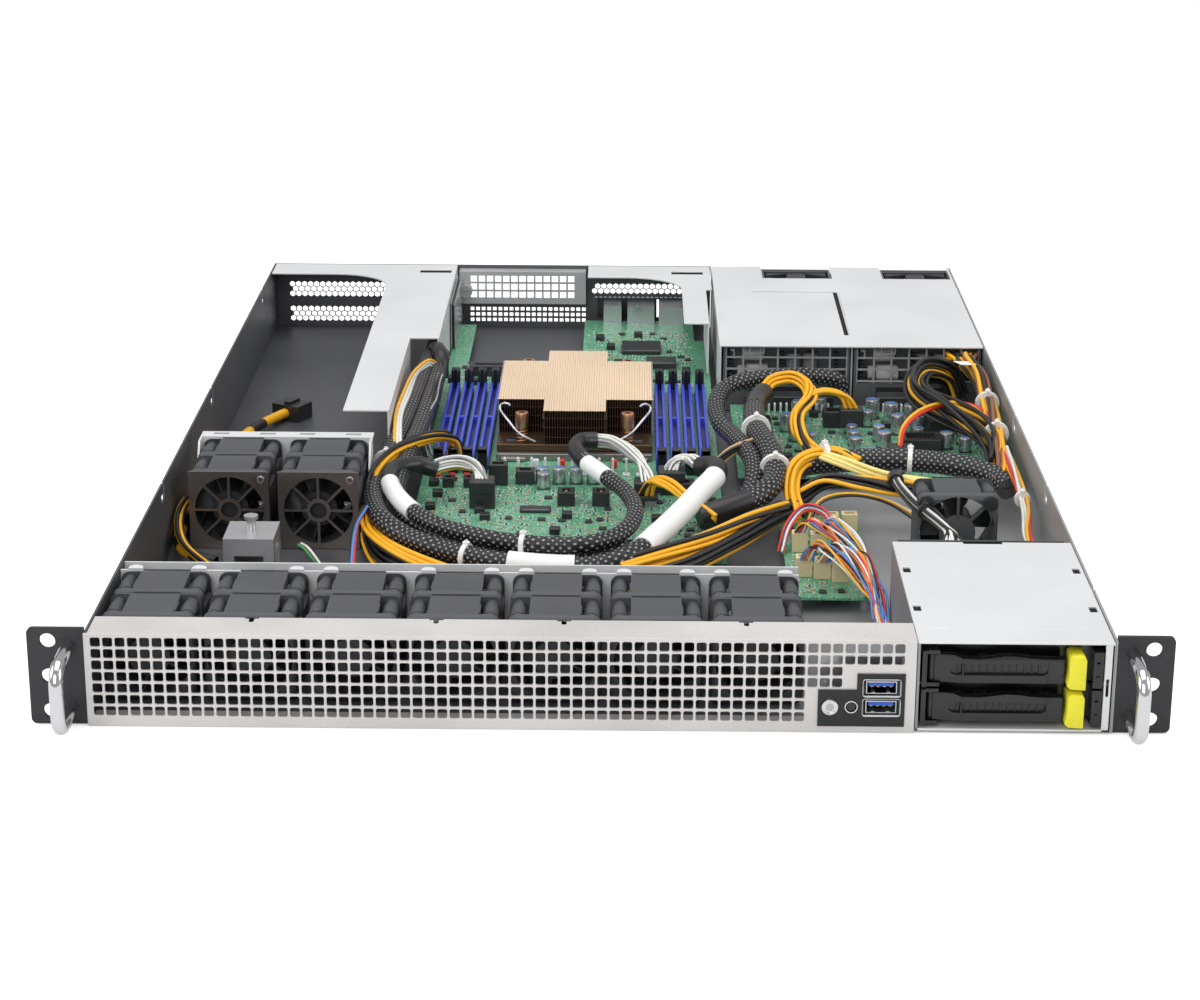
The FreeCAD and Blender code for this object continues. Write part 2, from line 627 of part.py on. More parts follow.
def carrier(z0):
    """Black drive tray: bezel web, two side rails, floor frame, and the lever's hinge lugs."""
    z1 = z0 + CARRIER_H
    rails = [box(x, x + CARRIER_WALL, 0, CARRIER_L, z0, z1)
             for x in (CARRIER_X0, CARRIER_X1 - CARRIER_WALL)]
    web = box(CARRIER_X0, CARRIER_X1, BEZEL_D, BEZEL_D + CARRIER_WALL, z0, z1)
    floor = box(CARRIER_X0, CARRIER_X1, BEZEL_D, CARRIER_L, z0, z0 + 1.2)
    floor = floor.cut(box(CARRIER_X0 + 10, CARRIER_X1 - 10, BEZEL_D + 12, CARRIER_L - 10, z0 - 1, z0 + 3))
    end = box(END_BLOCK_X, CARRIER_X1, 0, BEZEL_D, z0, z1)
    lugs = [box(CARRIER_X0, LEVER_PIVOT_X + 3, 1.0, BEZEL_D, z, z + 1.6) for z in (z0, z1 - 1.6)]
    body = rails[0].fuse([rails[1], web, floor, end] + lugs)
    pin = rod(LEVER_PIVOT_X, LEVER_PIVOT_D, z0 - 1, PIVOT_R + PIVOT_GAP, CARRIER_H + 2, "z")
    vents = [box(x, x + 5, BEZEL_D - 1, BEZEL_D + 4, z0 + 4, z1 - 4) for x in range(150, 195, 9)]
    lamps = [rod(END_BLOCK_X + 2, -1, z, 0.8, 4, "y") for z in (z0 + 5, z1 - 5)]
    return minus(body, [pin] + vents + lamps)


def lever(z0):
    """Swinging front lever: barrel on its own pin, wavy grip edge, long oval recess."""
    low, high = z0 + 1.9, z0 + CARRIER_H - 1.9
    d0 = 0.2
    start = V(LEVER_PIVOT_X, y_of(LEVER_PIVOT_D - LEVER_BARREL_R + 0.2), low)
    span = (LEVER_X1 - LEVER_PIVOT_X) / 4
    edges = []
    here = start
    for k in range(4):
        x = LEVER_PIVOT_X + span * (k + 1)
        mid = V(x - span / 2, y_of(d0 + (0.3 if k % 2 == 0 else 1.3)), low)
        end = V(x, y_of(d0 + 0.8), low)
        edges.append(Part.Arc(here, mid, end).toShape())
        here = end
    back = y_of(d0 + LEVER_T)
    corners = [here, V(LEVER_X1, back, low), V(LEVER_PIVOT_X, back, low), start]
    edges += [Part.LineSegment(a, b).toShape() for a, b in zip(corners, corners[1:])]
    arm = Part.Face(Part.Wire(edges)).extrude(V(0, 0, high - low))
    barrel = rod(LEVER_PIVOT_X, LEVER_PIVOT_D, low, LEVER_BARREL_R, high - low, "z")
    pin = rod(LEVER_PIVOT_X, LEVER_PIVOT_D, z0 + 0.2, PIVOT_R, CARRIER_H - 0.4, "z")
    middle = (low + high) / 2
    recess = box(LEVER_PIVOT_X + 12, LEVER_X1 - 8, -1, d0 + 2.6, middle - 2.4, middle + 2.4)
    return arm.fuse([barrel, pin]).cut(recess)


def release_tab(z0):
    """Sloped thumb tab that frees the lever when it is pushed aside."""
    x0 = LEVER_X1 + 0.6
    outline = [(x0, -TAB_REACH), (x0 + TAB_W - 3.0, -TAB_REACH - 1.0), (x0 + TAB_W, -0.4),
               (x0 + TAB_W, BEZEL_D - 0.3), (x0, BEZEL_D - 0.3)]
    return plan(outline, z0 + 0.5, CARRIER_H - 1.0)


def drive_bay():
    keep("drive_cage", drive_cage())
    for k, name in enumerate(("lower", "upper")):
        z0 = CARRIER_LOW_Z + CARRIER_PITCH * k
        keep(f"drive_carrier_{name}", carrier(z0))
        keep(f"carrier_lever_{name}", lever(z0))
        keep(f"release_tab_{name}", release_tab(z0))
    d = CAGE_L + SEAT
    board = box(143.7, 213.0, d, d + BACKPLANE_T, SHEET + SEAT, 38.4)
    plugs = []
    for k in range(2):
        z = CARRIER_LOW_Z + CARRIER_PITCH * k
        plugs.append(box(150.0, 190.0, CARRIER_L + 1.0, d, z + 2, z + 8))
    sockets = [box(151.0, 176.0, d + BACKPLANE_T, d + BACKPLANE_T + 8, 30.0, 37.6),
               box(196.0, 210.0, d + BACKPLANE_T, d + BACKPLANE_T + 9, 27.0, 37.6)]
    keep("drive_backplane", board.fuse(plugs + sockets))


# ---------------------------------------------------------------- power bay
def psu(x0):
    """Power module: grid face with the works behind it, fan bore at the back, folded handle."""
    z0 = SHEET + SEAT
    z1 = z0 + PSU_H
    d0 = rear(PSU_L + 1.0)
    d1 = BODY_L - 1.0
    block = box(x0, x0 + PSU_W, d0, d1, z0, z1)
    cells = []
    columns, rows = 8, 3
    cell_w = (PSU_W - 5.0) / columns
    cell_h = (z1 - 20.0) / rows
    for i in range(columns):
        for j in range(rows):
            x = x0 + 2.5 + cell_w * i
            z = 19.0 + cell_h * j
            cells.append(box(x + 0.7, x + cell_w - 0.7, d0 - 1, d0 + 2.5, z + 0.7, z + cell_h - 0.7))
    room = box(x0 + 1.6, x0 + PSU_W - 1.6, d0 + 1.5, d0 + PSU_GRID_L, 18.4, z1 - 1.0)
    fan = psu_fan_centre(x0)
    bore = rod(fan[0], d1 - 26, fan[1], FAN_BORE_R - 1.0, 28, "y")
    inlet = box(x0 + 5, x0 + 27, d1 - 12, d1 + 1, z0 + 6, z0 + 22)
    body = minus(block, cells + [room, bore, inlet])
    grip = box(x0 + 3, x0 + 7, d1, d1 + PSU_HANDLE, z1 - 9, z1 - 4)
    grip = grip.fuse([box(x0 + 27, x0 + 31, d1, d1 + PSU_HANDLE, z1 - 9, z1 - 4),
                      box(x0 + 3, x0 + 31, d1 + PSU_HANDLE - 3, d1 + PSU_HANDLE, z1 - 9, z1 - 4)])
    edge = box(x0 + 15, x0 + 60, d0 - 8, d0, 10.0, 11.6)
    return body.fuse([grip, edge])


def psu_fan_centre(x0):
    return x0 + PSU_W - FAN / 2 - 2.0, SHEET + SEAT + PSU_H / 2


def psu_xs():
    return [PSU_X0, PSU_X0 + PSU_W + PSU_GAP]


def power_modules():
    for k, x0 in enumerate(psu_xs()):
        keep(f"psu_{k + 1}", psu(x0))
        x, z = psu_fan_centre(x0)
        keep(f"psu_fan_rotor_{k + 1}", psu_rotor(x, z))
        keep(f"psu_latch_{k + 1}", psu_latch(x0))


def psu_rotor(x, z):
    d1 = BODY_L - 3.0
    d0 = d1 - 22.0
    tip = FAN_BORE_R - 1.0 - FAN_TIP_GAP
    pieces = [rod(x, d0, z, FAN_HUB_R, d1 - d0, "y")]
    for k in range(BLADES_REAR):
        corners = [V(x - 6, y_of(d0 + 2), z), V(x - 4.8, y_of(d0 + 2), z),
                   V(x + 6, y_of(d1 - 2), z), V(x + 4.8, y_of(d1 - 2), z)]
        blade = Part.Face(Part.makePolygon(corners + corners[:1])).extrude(V(0, 0, tip + 2))
        blade = blade.common(rod(x, d0, z, tip, d1 - d0, "y"))
        blade.rotate(V(x, 0, z), V(0, 1, 0), 360.0 * k / BLADES_REAR)
        pieces.append(blade)
    return join(pieces)


def psu_latch(x0):
    """Release tab beside the handle: squeezed towards the grip it frees the module."""
    d1 = BODY_L - 1.0
    z0 = SHEET + SEAT
    return box(x0 + 2.4, x0 + 4.6, d1 + SEAT, d1 + PSU_HANDLE, z0 + 6, z0 + 24)


def psu_cage_cover():
    """Flush cover of the power bay, with its left wall, divider, recess and rear fan cut-outs."""
    x1 = BODY_W / 2 - SHEET - SEAT
    top = box(BAY_X0, x1, COVER_FRONT_D, BODY_L, BODY_H - SHEET, BODY_H)
    wall = box(BAY_X0, BAY_X0 + SHEET, COVER_FRONT_D, BODY_L - SHEET - SEAT, SHEET, BODY_H - SHEET)
    middle = PSU_X0 + PSU_W + PSU_GAP / 2
    divider = box(middle - 0.5, middle + 0.5, rear(PSU_L), BODY_L - SHEET - SEAT, SHEET, BODY_H - SHEET)
    cuts = [box(87.0, 141.0, 484.0, 586.4, BODY_H - 0.6, BODY_H + 1)]
    for x, _ in (psu_fan_centre(x0) for x0 in psu_xs()):
        cuts.append(box(x - 27.0, min(x + 27.0, x1 + 1), rear(32.0), BODY_L + 1, BODY_H - 2, BODY_H + 1))
    return minus(top.fuse([wall, divider]), cuts)


def capacitor(x, d, radius, height):
    return rod(x, d, BOARD_Z + BOARD_T, radius, height, "z")


def power_board():
    """Power distribution board with its cans and the sockets that the modules plug into."""
    top = BOARD_Z + BOARD_T
    board = box(70.0, 208.0, 320.0, 452.0, BOARD_Z, top)
    cans = [capacitor(x, d, 4.2, 11) for x, d in
            ((150, 428), (160, 420), (171, 418), (182, 428), (162, 398), (173, 398), (108, 424), (104, 384))]
    cans += [capacitor(135.5, 364.0 + 12 * k, 3.2, 8) for k in range(5)]
    sockets = [box(x0 + 12, x0 + 63, 440.0, 452.0, top, 17.0).cut(
               box(x0 + 14, x0 + 61, 446.0, 453.0, 9.6, 12.6)) for x0 in psu_xs()]
    tall = [box(76.0, 90.0, 352.0, 388.0, top, 22.0), box(160.0, 182.0, 356.0, 372.0, top, 18.0),
            box(178.0, 192.0, 384.0, 408.0, top, 20.0)]
    keep("power_board", board, *cans, *sockets, *tall)


def fan_hub_board():
    """Small board that the fan leads plug into, with a row of upright headers."""
    top = BOARD_Z + BOARD_T
    board = box(88.0, 128.0, 138.0, 262.0, BOARD_Z, top)
    headers = [box(x, x + 8, d, d + 6, top, top + 10) for x, d in
               ((109, 228), (118.5, 229), (92, 200), (101, 199), (92, 165), (100.5, 162), (109, 158))]
    keep("fan_hub_board", board, *headers)


# ---------------------------------------------------------------- covers at the rear
def left_cover_plate():
    """L-shaped cover beside the card bay, folded down along its right edge."""
    z = BODY_H - SHEET
    left = -BODY_W / 2 + SHEET + SEAT
    arc = [(-145.0 - 62.0 * math.sin(math.radians(a)), rear(86.0) + 60.0 * (1 - math.cos(math.radians(a))))
           for a in range(0, 91, 15)]
    outline = [(-140.6, 326.0), (-116.0, 326.0), (-116.0, 472.0), (-99.2, 472.0), (-99.2, rear(1.3))]
    outline += [(left, rear(1.3)), (left, arc[-1][1])] + arc[::-1]
    plate = plan(outline, z, SHEET)
    folds = [box(-117.0, -116.0, 326.0, 472.0, 12.0, z), box(-100.2, -99.2, 472.0, rear(1.3), SHEET, z)]
    slot = box(-118.0, -104.0, rear(22.0), rear(15.0), z - 1, z + 2)
    return plate.fuse(folds).cut(slot)


def right_cover_plate():
    """Cover over the rear ports, with a tongue forward along the power bay."""
    z = BODY_H - SHEET
    arc = [(44.0 - 58.0 * math.sin(math.radians(a)), rear(100.0) + 66.0 * (1 - math.cos(math.radians(a))))
           for a in range(0, 91, 15)]
    outline = [(44.0, 509.0), (59.0, 509.0), (59.0, rear(60.0)), (62.6, rear(60.0)), (62.6, rear(1.3)),
               (-15.0, rear(1.3)), (-15.0, arc[-1][1])] + arc[::-1]
    plate = plan(outline, z, SHEET)
    fold = box(58.0, 59.0, 509.0, rear(60.0), BOARD_Z + BOARD_T + 2, z)
    slot = box(42.0, 58.0, rear(22.0), rear(15.0), z - 1, z + 2)
    return plate.fuse(fold).cut(slot)


def card_holder():
    """Folded retainer across the card slots, perforated like the rest of the rear."""
    z0, z1 = 18.6, 39.6
    d = rear(HOLDER_L + 1.3)
    centres = [V(-88.4 + HOLDER_PITCH * i, y_of(d), 24.6 + HOLDER_PITCH * j) for i in range(13) for j in range(3)]
    outline = [V(x, y_of(d), z) for x, z in
               ((HOLDER_X0, z0), (HOLDER_X1, z0), (HOLDER_X1, z1), (HOLDER_X0, z1))]
    face = perforated(outline, centres, HOLDER_HOLE, V(0, SHEET, 0))
    top = box(HOLDER_X0, HOLDER_X1, d + SHEET, rear(1.3), z1 - SHEET, z1)
    end = box(HOLDER_X1 - SHEET, HOLDER_X1, d + SHEET, rear(1.3), z0, z1 - SHEET)
    screw = rod(HOLDER_X0 + 4.6, d - 1, 28.0, 2.0 + PIVOT_GAP, 3, "y")
    return face.fuse([top, end]).cut(screw)


def thumbscrew():
    d = rear(HOLDER_L + 1.3)
    x = HOLDER_X0 + 4.6
    knob = rod(x, d - 7.0, 28.0, 4.0, 6.7, "y")
    shank = rod(x, d - 0.4, 28.0, 2.0, 6.0, "y")
    slot = box(x - 3, x + 3, d - 8, d - 6, 27.5, 28.5)
    return knob.fuse(shank).cut(slot)


def rear_io_ports():
    top = BOARD_Z + BOARD_T
    d0 = rear(38.0)
    back = BODY_L
    usb = box(-5.0, 6.4, d0 + 20, back, top, 19.6).cut(
        Part.makeCompound([box(-4.2, 5.6, back - 10, back + 1, z, z + 4.2) for z in (9.4, 14.6)]))
    vga = box(10.2, 27.4, d0 + 18, back, top, 19.4).cut(box(12.0, 25.6, back - 6, back + 1, 10.4, 17.4))
    lan = [box(x, x + 15.6, d0 + 16, back, top, 20.0).cut(box(x + 2, x + 13.6, back - 12, back + 1, 10.2, 17.6))
           for x in (30.4,)]
    keep("rear_io_ports", usb, vga, *lan)


# ---------------------------------------------------------------- motherboard
def motherboard():
    outline = [(BOARD_X0, BOARD_D0), (BOARD_X1, BOARD_D0), (BOARD_X1, rear(60.0)), (52.0, rear(60.0)),
               (52.0, BOARD_D1), (CARD_X1, BOARD_D1), (CARD_X1, CARD_D0), (CARD_X0, CARD_D0),
               (CARD_X0, BOARD_D1 - 12), (BOARD_X0, BOARD_D1 - 12)]
    return plan(outline, BOARD_Z, BOARD_T)


def board_components():
    """Connectors, chips, coils and cans that stand on the motherboard."""
    top = BOARD_Z + BOARD_T
    pieces = [box(-70.0, -57.0, 262.0, 272.0, top, 20.0), box(-62.0, -52.0, 300.0, 308.0, top, 20.0),
              box(-48.0, -38.0, 302.0, 310.0, top, 16.0), box(-44.0, -28.0, 256.0, 264.0, top, 10.4),
              box(7.0, 31.0, 556.0, 580.0, top, 11.4), box(22.0, 40.0, 524.0, 540.0, top, 12.6),
              box(-84.0, -46.0, 506.0, 516.0, top, 15.0), box(28.0, 46.0, 286.0, 294.0, top, 16.0),
              box(10.0, 20.0, 268.0, 277.0, top, 15.0), box(70.0 - 18, 70.0 - 12, 232.0, 262.0, top, 15.0)]
    pieces += [box(x, x + 9.0, 268.0, 276.0, top, 16.0).cut(box(x + 3, x + 6, 267.0, 277.0, 12.0, 17.0))
               for x in (-25.0, -7.0)]
    pieces += [rod(x, d, top, 3.6, 8.5, "z") for x, d in ((-34, 306), (-33, 297), (-25, 306), (-16, 306), (-7, 306))]
    pieces += [box(-86.0 + 11 * k, -80.0 + 11 * k, 296.0, 302.0, top, 14.0) for k in range(2)]
    pieces += [box(-55.0 + 7.2 * k, -53.8 + 7.2 * k, 318.0, 328.0, top, 18.0) for k in range(11)]
    keep("board_components", *pieces)


def memory_socket(x):
    """Long socket with its card groove and an open fork at each end for the latch."""
    top = BOARD_Z + BOARD_T
    half = DIMM_W / 2
    bar = box(x - half, x + half, DIMM_D0, DIMM_D0 + DIMM_L, top, top + DIMM_H)
    groove = box(x - 0.8, x + 0.8, DIMM_D0 - 1, DIMM_D0 + DIMM_L + 1, top + 3, top + DIMM_H + 1)
    return bar.cut(groove)


def memory_xs():
    return ([DIMM_LEFT_X + DIMM_PITCH * k for k in range(DIMM_SLOTS)]
            + [DIMM_RIGHT_X + DIMM_PITCH * k for k in range(DIMM_SLOTS)])


def memory_latch(x, side):
    """Hooked end latch that tips outwards about its foot."""
    z = BOARD_Z + BOARD_T + SEAT
    near = DIMM_D0 - SEAT if side < 0 else DIMM_D0 + DIMM_L + SEAT
    far = near + side * LATCH_L
    outline = [(near, z), (far, z), (far, z + LATCH_H - 3), (far - side * 1.5, z + LATCH_H), (near, z + LATCH_H)]
    return side_face(outline, x - LATCH_W / 2, LATCH_W)


def memory():
    xs = memory_xs()
    keep("memory_sockets", *[memory_socket(x) for x in xs])
    keep("memory_latches_front", *[memory_latch(x, -1) for x in xs])
    keep("memory_latches_rear", *[memory_latch(x, 1) for x in xs])


def cpu_frame():
    """Bolster frame round the processor, under the heatsink."""
    top = BOARD_Z + BOARD_T
    w, length = SINK_W / 2, SINK_MID_L / 2 + 4
    frame = box(CPU_X - w, CPU_X + w, SINK_D - length, SINK_D + length, top, SINK_BASE_Z)
    frame = frame.cut(box(CPU_X - w + 14, CPU_X + w - 14, SINK_D - length + 20, SINK_D + length - 20, top - 1, 20))
    return frame


def heatsink():
    """Finned cooler in one piece: base, fins with folded tops that close the stack, longer middle."""
    half = SINK_W / 2
    pitch = SINK_W / SINK_FINS
    top = SINK_TOP - SINK_COVER
    points = [(CPU_X - half, SINK_BASE_Z), (CPU_X + half, SINK_BASE_Z), (CPU_X + half, SINK_TOP),
              (CPU_X - half, SINK_TOP)]
    stack = front_face(points, SINK_D - SINK_MID_L / 2, SINK_MID_L)
    cuts = []
    for k in range(SINK_FINS):
        x = CPU_X - half + pitch * k + FIN_T / 2
        cuts.append(box(x, x + pitch - FIN_T, SINK_D - SINK_MID_L, SINK_D + SINK_MID_L,
                        SINK_BASE_Z + SINK_BASE_T, top))
    for side in (-1, 1):
        for end in (-1, 1):
            x = sorted((CPU_X + side * SINK_MID_W / 2, CPU_X + side * (half + 1)))
            d = sorted((SINK_D + end * SINK_L / 2, SINK_D + end * (SINK_MID_L / 2 + 1)))
            cuts.append(box(x[0], x[1], d[0], d[1], SINK_BASE_Z + SINK_BASE_T, SINK_TOP + 1))
            cuts.append(rod(CPU_X + side * POST_X, SINK_D + end * POST_D, SINK_BASE_Z - 1, POST_R + 0.4, 8, "z"))
    return minus(stack, cuts)


def heatsink_screws():
    """Spring screws that pull the cooler down, one at each corner."""
    screws = []
    for side in (-1, 1):
        for end in (-1, 1):
            x, d = CPU_X + side * POST_X, SINK_D + end * POST_D
            barrel = rod(x, d, SINK_BASE_Z, POST_R, 20.0, "z")
            screws.append(barrel.cut(rod(x, d, SINK_BASE_Z + 17, 1.6, 4, "z")))
    keep("heatsink_screws", *screws)


# ---------------------------------------------------------------- cables held by the chassis
TRUNK = [(-107, 462, 30), (-109, 366, 25), (-113.5, 285, 22), (-113.5, 205, 20), (-70, 168, 18.5),
         (-8, 166, 18), (37, 205, 23.5), (48, 250, 26), (44, 280, 20)]
LOOP = [(-63.5, 267, 20.4), (-63.5, 267, 30), (-76, 280, 33), (-103, 283, 31), (-101, 225, 27), (-45, 184, 26),
        (0, 186, 26), (20, 235, 26.5), (-14, 285, 29), (-8, 307, 29), (12, 303, 27.5), (15.7, 280, 26.5),
        (15.5, 272.5, 22.5), (15.5, 272.5, 15.3)]
SLEEVE = [(71, 424, 22), (70, 396, 28), (82, 306, 31), (84, 262, 27.5), (57, 227, 19)]
BACKPLANE_SLEEVE = [(87.8, 306, 27.6), (116, 299, 25), (176, 299, 24), (192, 296, 23)]
FRONT_WIRES = [(-116, 300, 10), (-115.5, 200, 9), (-85, 152, 8.5), (8, 146, 9), (46, 164, 11), (76, 204, 16)]
PSU_WIRES = [(202, 463.7, 33), (202, 400, 34), (210.5, 330, 26), (210.7, 240, 21), (203, 180, 31), (203, 136.2, 31)]
FAN_WIRES = [(126, 108, 8), (122, 134, 21), (107, 190, 29), (113, 231, 29.5), (113, 231, 19)]
GPU_CABLE = [(-189, 184, 7), (-203, 190, 8), (-211.8, 208, 8), (-212.7, 234, 9), (-212.6, 264, 8), (-212.7, 296, 9),
             (-211.6, 330, 8), (-208.4, 362, 7), (-204, 392, 6), (-197, 418, 5.6), (-186, 438, 5.6)]


def cables():
    keep("sleeved_cables", tube(TRUNK, 4.5, "trunk"), tube(LOOP, 3.4, "loop"),
         tube(SLEEVE, 5.0, "power sleeve"), tube(BACKPLANE_SLEEVE, 4.2, "backplane sleeve"))
    keep("wire_bundles", tube(FRONT_WIRES, 3.6, "front wires"), tube(PSU_WIRES, 5.0, "power wires"),
         tube(FAN_WIRES, 3.4, "fan wires"))
    keep("gpu_power_cable", tube(GPU_CABLE, GPU_LEAD_R, "accelerator lead"))
    (x0, d0, _), (x1, d1, z1) = GPU_CABLE[-2:]
    half = PLUG_W / 2
    plug = Part.makeBox(PLUG_W, PLUG_L, PLUG_H, V(-half, 0, SHEET + SEAT))
    keyway = Part.makeBox(PLUG_W - 4, 3, PLUG_H - 4, V(2 - half, PLUG_L - 2, SHEET + SEAT + 2))
    clip = Part.makeBox(4, PLUG_L - 4, 1.6, V(-2, 2, SHEET + SEAT + PLUG_H))
    plug = plug.cut(keyway).fuse(clip)
    plug.rotate(V(0, 0, 0), V(0, 0, 1), -math.degrees(math.atan2(x1 - x0, d1 - d0)))
    plug.translate(V(x1, y_of(d1), 0))
    keep("gpu_power_plug", plug)


# ---------------------------------------------------------------- build
def build():
    keep("tray", tray())
    keep("front_grille", front_grille())
    keep("io_panel", io_panel())
    front_io_board()
    buttons()
    keep("rack_ears", rack_ear(-1), rack_ear(1))
    keep("pull_handles", pull_handle(-1), pull_handle(1))
    front_fans()
    keep("fan_wall_bracket", fan_wall_bracket())
    gpu_fans()
    keep("gpu_fan_bracket", gpu_fan_bracket())
    keep("cover_stud_bracket", cover_stud_bracket())
    bay_fan()
    drive_bay()
    power_modules()
    keep("psu_cage_cover", psu_cage_cover())
    power_board()
    fan_hub_board()
    keep("left_cover_plate", left_cover_plate())
    keep("right_cover_plate", right_cover_plate())
    keep("card_holder", card_holder())
    keep("thumbscrew", thumbscrew())
    rear_io_ports()
    keep("motherboard", motherboard())
    board_components()
    memory()
    keep("cpu_frame", cpu_frame())
    keep("heatsink", heatsink())
    heatsink_screws()
    cables()


build()
os.makedirs("parts", exist_ok=True)
for node, shape in PARTS.items():
    shape.exportStep(f"parts/{node}.step")
print(len(PARTS), "nodes")
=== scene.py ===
"""Looks of a 1U rack server with its lid off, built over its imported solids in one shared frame.

Places are written as (x, depth, height) in millimetres: x to the right of the middle, depth
behind the front face and height above the tray's underside.  place() turns them into metres.
"""

import json
import math
import random

import bpy
from bpy.props import FloatProperty, FloatVectorProperty, IntProperty, PointerProperty
from mathutils import Matrix, Vector

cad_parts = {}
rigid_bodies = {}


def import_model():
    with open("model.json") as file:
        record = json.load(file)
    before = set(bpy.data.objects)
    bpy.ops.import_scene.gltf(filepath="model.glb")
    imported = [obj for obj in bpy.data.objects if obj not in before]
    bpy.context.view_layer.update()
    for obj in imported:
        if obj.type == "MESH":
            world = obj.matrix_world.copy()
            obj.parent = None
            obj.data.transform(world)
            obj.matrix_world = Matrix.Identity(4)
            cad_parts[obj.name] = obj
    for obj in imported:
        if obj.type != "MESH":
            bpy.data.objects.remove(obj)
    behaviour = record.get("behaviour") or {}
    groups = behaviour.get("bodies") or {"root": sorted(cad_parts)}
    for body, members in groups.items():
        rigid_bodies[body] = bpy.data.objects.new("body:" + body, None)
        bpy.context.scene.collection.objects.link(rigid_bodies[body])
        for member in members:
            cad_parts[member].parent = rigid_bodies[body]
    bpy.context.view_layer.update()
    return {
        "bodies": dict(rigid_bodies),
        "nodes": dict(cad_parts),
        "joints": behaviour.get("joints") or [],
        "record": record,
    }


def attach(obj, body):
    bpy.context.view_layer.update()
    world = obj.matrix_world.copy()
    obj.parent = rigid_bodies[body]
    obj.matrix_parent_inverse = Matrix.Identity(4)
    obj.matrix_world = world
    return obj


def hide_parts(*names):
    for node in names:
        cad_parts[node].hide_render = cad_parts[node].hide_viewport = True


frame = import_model()

bl_info = {
    "name": "Rack Server",
    "version": (1, 0, 0),
    "blender": (4, 5, 0),
    "location": "View3D > Sidebar > Server",
    "description": "Builds the visible pieces of a 1U rack server with its lid off",
    "category": "Add Mesh",
}

BODY_L = 650.0            # depth of the tray, as in the solids
GOLDEN = math.pi * (3 - math.sqrt(5))    # turn between neighbours in an even round packing


# ---------------------------------------------------------------- places and small tools
def place(x, depth, z):
    """Place in metres of an (x, depth, height) in millimetres."""
    return Vector((x / 1000, (depth - BODY_L / 2) / 1000, z / 1000))


def deselect():
    bpy.ops.object.select_all(action="DESELECT")


def choose(*objects):
    deselect()
    for thing in objects:
        thing.select_set(True)
    bpy.context.view_layer.objects.active = objects[0]


def settle(thing):
    """Puts a new piece's place into its mesh."""
    choose(thing)
    bpy.ops.object.transform_apply(location=True, rotation=True, scale=True)
    return thing


def block(x0, x1, d0, d1, z0, z1, edge=0.0, steps=1):
    """Box between two corners with broken edges."""
    deselect()
    low, high = place(x0, d0, z0), place(x1, d1, z1)
    bpy.ops.mesh.primitive_cube_add(size=1, location=(low + high) / 2, scale=high - low)
    piece = settle(bpy.context.object)
    if edge:
        soften(piece, edge, steps)
    return piece


def soften(piece, edge, steps=1, angle=40):
    """Breaks the sharp edges of a piece."""
    choose(piece)
    rounding = piece.modifiers.new("edges", "BEVEL")
    rounding.width = edge / 1000
    rounding.segments = steps
    rounding.limit_method = "ANGLE"
    rounding.angle_limit = math.radians(angle)
    bpy.ops.object.modifier_apply(modifier=rounding.name)
    return piece


def round_uprights(piece, corner, steps):
    """Rounds the edges of a block that run along Y."""
    choose(piece)
    bpy.ops.object.mode_set(mode="EDIT")
    bpy.ops.mesh.select_all(action="DESELECT")
    bpy.ops.object.mode_set(mode="OBJECT")
    for edge in piece.data.edges:
        a, b = (piece.data.vertices[i].co for i in edge.vertices)
        edge.select = abs(a.y - b.y) > 0.00005
    bpy.ops.object.mode_set(mode="EDIT")
    bpy.ops.mesh.bevel(offset=corner / 1000, segments=steps, affect="EDGES")
    bpy.ops.object.mode_set(mode="OBJECT")
    return piece


def prism(corners, name):
    """Solid between two equal outlines, given one after the other in the same list."""
    count = len(corners) // 2
    faces = [tuple(range(count)), tuple(range(2 * count - 1, count - 1, -1))]
    faces += [(k, k + count, (k + 1) % count + count, (k + 1) % count) for k in range(count)]
    mesh = bpy.data.meshes.new(name)
    mesh.from_pydata(corners, [], faces)
    piece = bpy.data.objects.new(name, mesh)
    bpy.context.scene.collection.objects.link(piece)
    choose(piece)
    bpy.ops.object.mode_set(mode="EDIT")
    bpy.ops.mesh.select_all(action="SELECT")
    bpy.ops.mesh.normals_make_consistent(inside=False)
    bpy.ops.object.mode_set(mode="OBJECT")
    return piece


TURNS = {"x": (0, math.pi / 2, 0), "y": (-math.pi / 2, 0, 0), "z": (0, 0, 0)}


def rod(x, depth, z, radius, length, axis, sides=20, edge=0.0):
    """Cylinder that starts at a place and runs along +X, +Y or +Z."""
    deselect()
    way = {"x": Vector((1, 0, 0)), "y": Vector((0, 1, 0)), "z": Vector((0, 0, 1))}[axis]
    middle = place(x, depth, z) + way * length / 2000
    bpy.ops.mesh.primitive_cylinder_add(vertices=sides, radius=radius / 1000, depth=length / 1000,
                                        location=middle, rotation=TURNS[axis])
    piece = settle(bpy.context.object)
    if edge:
        soften(piece, edge, 2, 50)
    return piece


def ring(x, depth, z, radius, wire, axis, sides=24, wire_sides=8):
    """Round wire bent into a ring about an axis."""
    deselect()
    bpy.ops.mesh.primitive_torus_add(major_radius=radius / 1000, minor_radius=wire / 1000,
                                     major_segments=sides, minor_segments=wire_sides,
                                     location=place(x, depth, z), rotation=TURNS[axis])
    return settle(bpy.context.object)


def join(pieces):
    choose(*pieces)
    if len(pieces) > 1:
        bpy.ops.object.join()
    return bpy.context.object


def subtract(piece, tools, crossing=False):
    """Takes tools away from a piece; crossing says that the tools overlap each other."""
    cutter = join(tools)
    choose(piece)
    cut = piece.modifiers.new("cut", "BOOLEAN")
    cut.operation = "DIFFERENCE"
    cut.solver = "EXACT"
    cut.use_self = crossing
    cut.object = cutter
    bpy.ops.object.modifier_apply(modifier=cut.name)
    bpy.data.objects.remove(cutter)
    return piece


